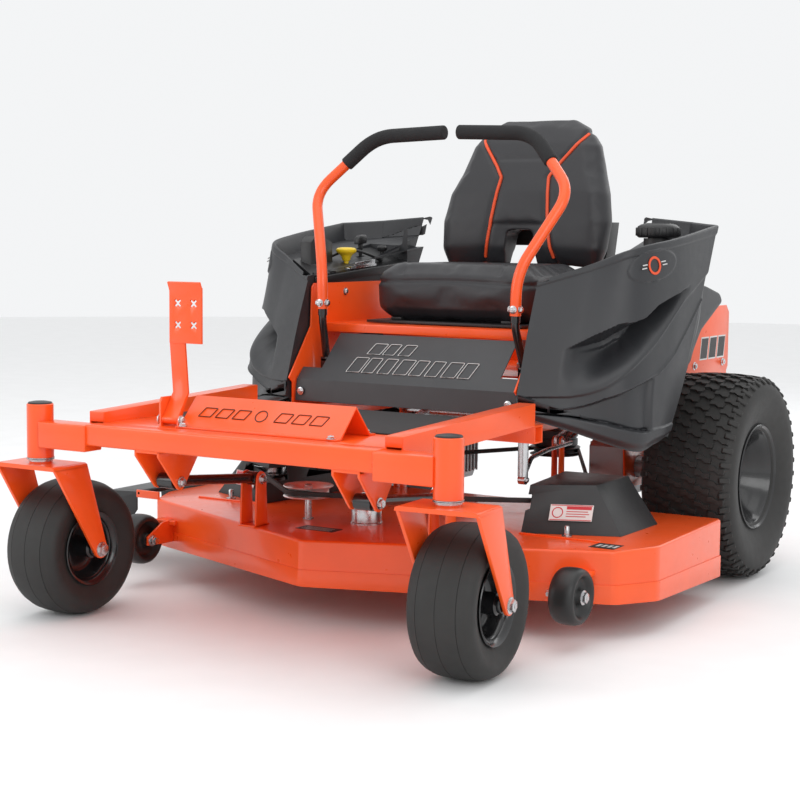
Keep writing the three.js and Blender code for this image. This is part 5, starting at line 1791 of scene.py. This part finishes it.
@dataclass
class Controls:
    """Lap bars, levers, pedal and the console's controls."""

    tube_radius: float = 14.3
    bend: float = 55
    route: tuple = ((291, -117, 729), (293, -117, 835), (385, -13, 1040), (240, 62, 1192),
                    (24, 58, 1199))
    lever: tuple[float, float, float, float] = (300, -83, 540, 572)
    pedal_pin: tuple[float, float] = (-838, 500)
    pedal_faces: tuple[float, float] = (-247.2, -189.8)
    knob: tuple[float, float] = (-400, 160)

    def build(self) -> None:
        """Make every control."""
        for side, sign in SIDES:
            self.lap_bar(side, sign)
            self.lever_arm(side, sign)
        self.pedal()
        self.console()

    def lap_bar(self, side: str, sign: int) -> None:
        """Make the bent bar, its foam grip and its bolts.

        Args:
            side: left or right.
            sign: 1 for left, -1 for right.
        """
        points = [place(*p) for p in self.route]
        bar = tube(points, self.tube_radius, self.bend, 32)
        piece(f"bar_{side}", mirrored(bar, sign), ORANGE, f"lap_bar_{side}", [f"lap_bar_{side}"])
        middle = (points[2] + points[3]) / 2
        end = points[4] + (points[4] - points[3]).normalized() * 4 * MM
        grip = tube([middle, points[3], end], 19.2, self.bend, 32)
        rims = [e for e in grip.edges if e.is_manifold and e.calc_face_angle(0) > math.radians(60)]
        bevel(grip, rims, 5, 4)
        piece(f"foam_grip_{side}", mirrored(grip, sign), GRIP_FOAM, f"lap_bar_{side}",
              [f"grip_{side}"], 60)
        x, y, z = self.route[0]
        heads = [bolt(place(x + d * 13, y, z + 16), axis, 8, 6)
                 for d, axis in ((1, "x"), (-1, "-x"))]
        heads.append(bolt(place(x, y - 13, z + 16), "-y", 8, 6))
        piece(f"bar_bolts_{side}", mirrored(joined(heads), sign), ZINC, f"lap_bar_{side}")

    def lever_arm(self, side: str, sign: int) -> None:
        """Make the black lever below the bar and its rocking pivot.

        Args:
            side: left or right.
            sign: 1 for left, -1 for right.
        """
        x, y, _, pin = self.lever
        softened(f"pivot_block_{side}", GLOSS_BLACK, f"lever_rocker_{side}", 1.0)
        top = self.route[0]
        stem = tube([place(x, y, pin + 18), place(x - 2, y - 8, pin + 46), place(top[0], top[1], 700),
                     place(top[0], top[1], 757)], 10.4, 16, 28)
        ears = [block(place(x - 12, y + a, pin - 12), place(x + 12, y + b, pin + 24), 3)
                for a, b in ((-13, -4.6), (4.6, 13))]
        bridge = block(place(x - 12, y - 13, pin + 13), place(x + 12, y + 13, pin + 27), 3)
        collar = tube([place(top[0], top[1], 712), place(top[0], top[1], 728)], 12.2, 4, 28)
        bm = mirrored(joined([stem, bridge, collar] + ears), sign)
        piece(f"lever_{side}", bm, GLOSS_BLACK, f"lap_bar_{side}", [f"control_lever_{side}"])

    def pedal(self) -> None:
        """Make the brake pedal with its crossed cut-outs."""
        softened("brake_pedal", ORANGE, "brake_pedal", 0.9)
        outer, inner = self.pedal_faces
        heads = [bolt(place(outer, *self.pedal_pin), "-x", 11, 7),
                 bolt(place(inner, *self.pedal_pin), "x", 9, 6)]
        piece("pedal_bolts", joined(heads), ZINC, "chassis")

    def console(self) -> None:
        """Make the console's panel, knob, lever, key and latch."""
        softened("control_console", BLACK_PLASTIC, "chassis", 2.0)
        knob = lathe([(0, 852), (9, 852), (12, 856), (14, 864), (19, 871), (27, 875.5), (29.5, 880),
                      (29, 885), (24, 889), (14, 890.6), (0, 891)], 48)
        bm = turned(joined([knob, round_bar(6.5, 838, 856, 24)]), "z", place(*self.knob, 0))
        piece("blade_knob", bm, YELLOW, "pto_knob", ["pto_knob"])
        stem = prism([place(-426, y, z) for y, z in ((265, 859), (259, 903), (283, 903), (275, 859))],
                     Vector((4 * MM, 0, 0)), 0.8)
        handle = prism([place(-433, y, z) for y, z in ((247, 898), (251, 918), (260, 924), (288, 927),
                                                      (296, 920), (293, 902))],
                       Vector((18 * MM, 0, 0)), 4.5)
        piece("throttle_handle", joined([stem, handle]), BLACK_PLASTIC, "throttle_lever",
              ["throttle_lever"])
        latch = [prism([place(-372, y, z) for y, z in ((104, 829), (236, 839), (236, 845), (104, 835))],
                       Vector((26 * MM, 0, 0)), 1.2),
                 prism([place(-350, y, z) for y, z in ((128, 832), (228, 841), (228, 858), (128, 849))],
                       Vector((4 * MM, 0, 0)), 1.2),
                 turned(lathe([(0, 0), (9, 0), (9, 6), (6, 9), (0, 9)], 32), "z", place(-362, 150, 836))]
        piece("seat_latch", joined(latch), ZINC, "chassis")
        key = [turned(lathe([(0, -26), (6, -26), (6, 0), (12, 1), (15, 6), (15, 12), (11, 17), (0, 18)], 36),
                      "z", place(-400, 349, 878)),
               turned(lathe([(0, 0), (13, 0), (13, 3), (10, 5), (0, 5)], 36), "z", place(-362, 30, 822))]
        piece("choke_knob", joined(key), BLACK_PLASTIC, "chassis")
        cable = tube([place(-440, 128, 862), place(-420, 196, 884), place(-392, 218, 880),
                      place(-376, 250, 868), place(-370, 300, 852)], 4.2, 14, 16)
        piece("choke_cable", cable, BLACK_PLASTIC, "chassis")


# ---------------------------------------------------------------- engine and drive


@dataclass
class Engine:
    """The twin-cylinder engine, its cowl, muffler and the two transaxles."""

    y: float = 705
    base: float = 526.3

    def build(self) -> None:
        """Make the engine and the drives."""
        self.crankcase()
        self.cowl()
        self.muffler()
        self.transaxles()

    def crankcase(self) -> None:
        """Make the crankcase and the finned cylinders."""
        case = [(0, self.base), (116, self.base), (120, self.base + 4), (120, 545), (112, 552), (112, 596),
                (120, 602), (120, 618), (112, 624), (0, 624)]
        parts = [turned(lathe(case, 64), "z", place(0, self.y, 0))]
        for sign in (1, -1):
            start, end = Vector((0, 0, 0)), Vector((sign * 138, 110, 0))
            way = (end - start).normalized()
            turn = way.to_track_quat("Z", "Y").to_matrix().to_4x4()
            barrel = lathe([(0, 20), (40, 20), (40, 150), (34, 176), (0, 176)], 40)
            fins = []
            for k in range(9):
                h = 84 + k * 9
                fins.append(lathe([(0, h), (57, h), (57.5, h + 1.2), (57, h + 2.4), (0, h + 2.4)], 40))
            head = lathe([(0, 168), (50, 168), (54, 172), (54, 184), (46, 190), (0, 190)], 8)
            bm = joined([barrel, head] + fins)
            bm.transform(Matrix.Translation(place(0, self.y, 590)) @ turn)
            parts.append(bm)
        piece("crankcase", joined(parts), CAST, "chassis", ["engine_block"])

    def cowl(self) -> None:
        """Make the blower cowl, its screen and the air filter box."""
        profile = [(0, 652), (142, 652), (148, 656), (150, 664), (150, 712), (146, 728), (136, 740),
                   (120, 746), (98, 750), (92, 756), (90, 768), (84, 771), (0, 771)]
        hood = turned(lathe(profile, 80), "z", place(0, self.y, 0))
        filter_box = block(place(-85, self.y + 80, 654), place(85, self.y + 190, 758), 12)
        lid = block(place(-88, self.y + 78, 724), place(88, self.y + 193, 762), 9)
        piece("blower_cowl", joined([hood, filter_box, lid]), SATIN_BLACK, "chassis", ["engine_cowl"])
        rings = [turned(lathe([(r, 771), (r + 3, 771), (r + 3, 774), (r, 774)], 56), "z",
                        place(0, self.y, 0)) for r in (14, 30, 46, 62, 76)]
        for k in range(12):
            spoke = block(Vector((12, -1.4, 771)) * MM, Vector((80, 1.4, 773.5)) * MM, 0)
            spoke.transform(Matrix.Translation(place(0, self.y, 0))
                            @ Matrix.Rotation(math.pi / 6 * k, 4, "Z"))
            rings.append(spoke)
        piece("blower_screen", joined(rings), ZINC, "chassis")

    def muffler(self) -> None:
        """Make the muffler with its rolled ends and tail pipe."""
        profile = [(0, -150), (30, -150), (36, -147), (38, -143), (36, -139), (37, -134), (38, -50),
                   (39, -48), (38, -46), (38, 46), (39, 48), (38, 50), (37, 134), (36, 139), (38, 143),
                   (36, 147), (30, 150), (0, 150)]
        body = turned(lathe(profile, 56), "x", place(0, 900, 570))
        tail = tube([place(110, 900, 570), place(110, 922, 580), place(110, 938, 588)], 14, 10, 28)
        piece("muffler_can", joined([body, tail]), ZINC, "chassis", ["muffler"])

    def transaxles(self) -> None:
        """Dress the transaxles with fans and cooling ribs."""
        for side, sign in SIDES:
            bm = node_mesh(f"transaxle_{side}", 2.5)
            ribs = [mirrored(block(place(222, y, 215), place(228, y + 5, 350), 1), sign)
                    for y in range(480, 621, 20)]
            piece(f"transaxle_case_{side}", joined([bm] + ribs), CAST, "chassis", [f"transaxle_{side}"])
            blades = []
            for k in range(8):
                blade = block(Vector((16, -2, 398)) * MM, Vector((52, 2, 408)) * MM, 0.6)
                blade.transform(Matrix.Rotation(math.pi / 4 * k, 4, "Z"))
                blades.append(blade)
            bm = joined(blades)
            bm.transform(Matrix.Translation(place(270 * sign, 550, 0)))
            piece(f"cooling_fan_{side}", bm, BLACK_PLASTIC, "chassis")


def main() -> None:
    """Build the studio and the machine, piece by piece."""
    logging.basicConfig(level=logging.INFO, format="%(message)s")
    Studio().build()
    for assembly in (DriveWheel(), Caster(), ScalpWheel(), FrontBeam(), Chassis(), Pods(), Deck(),
                     Seat(), Controls(), Engine()):
        LOG.info("building %s", type(assembly).__name__)
        assembly.build()


if __name__ == "__main__":
    main()
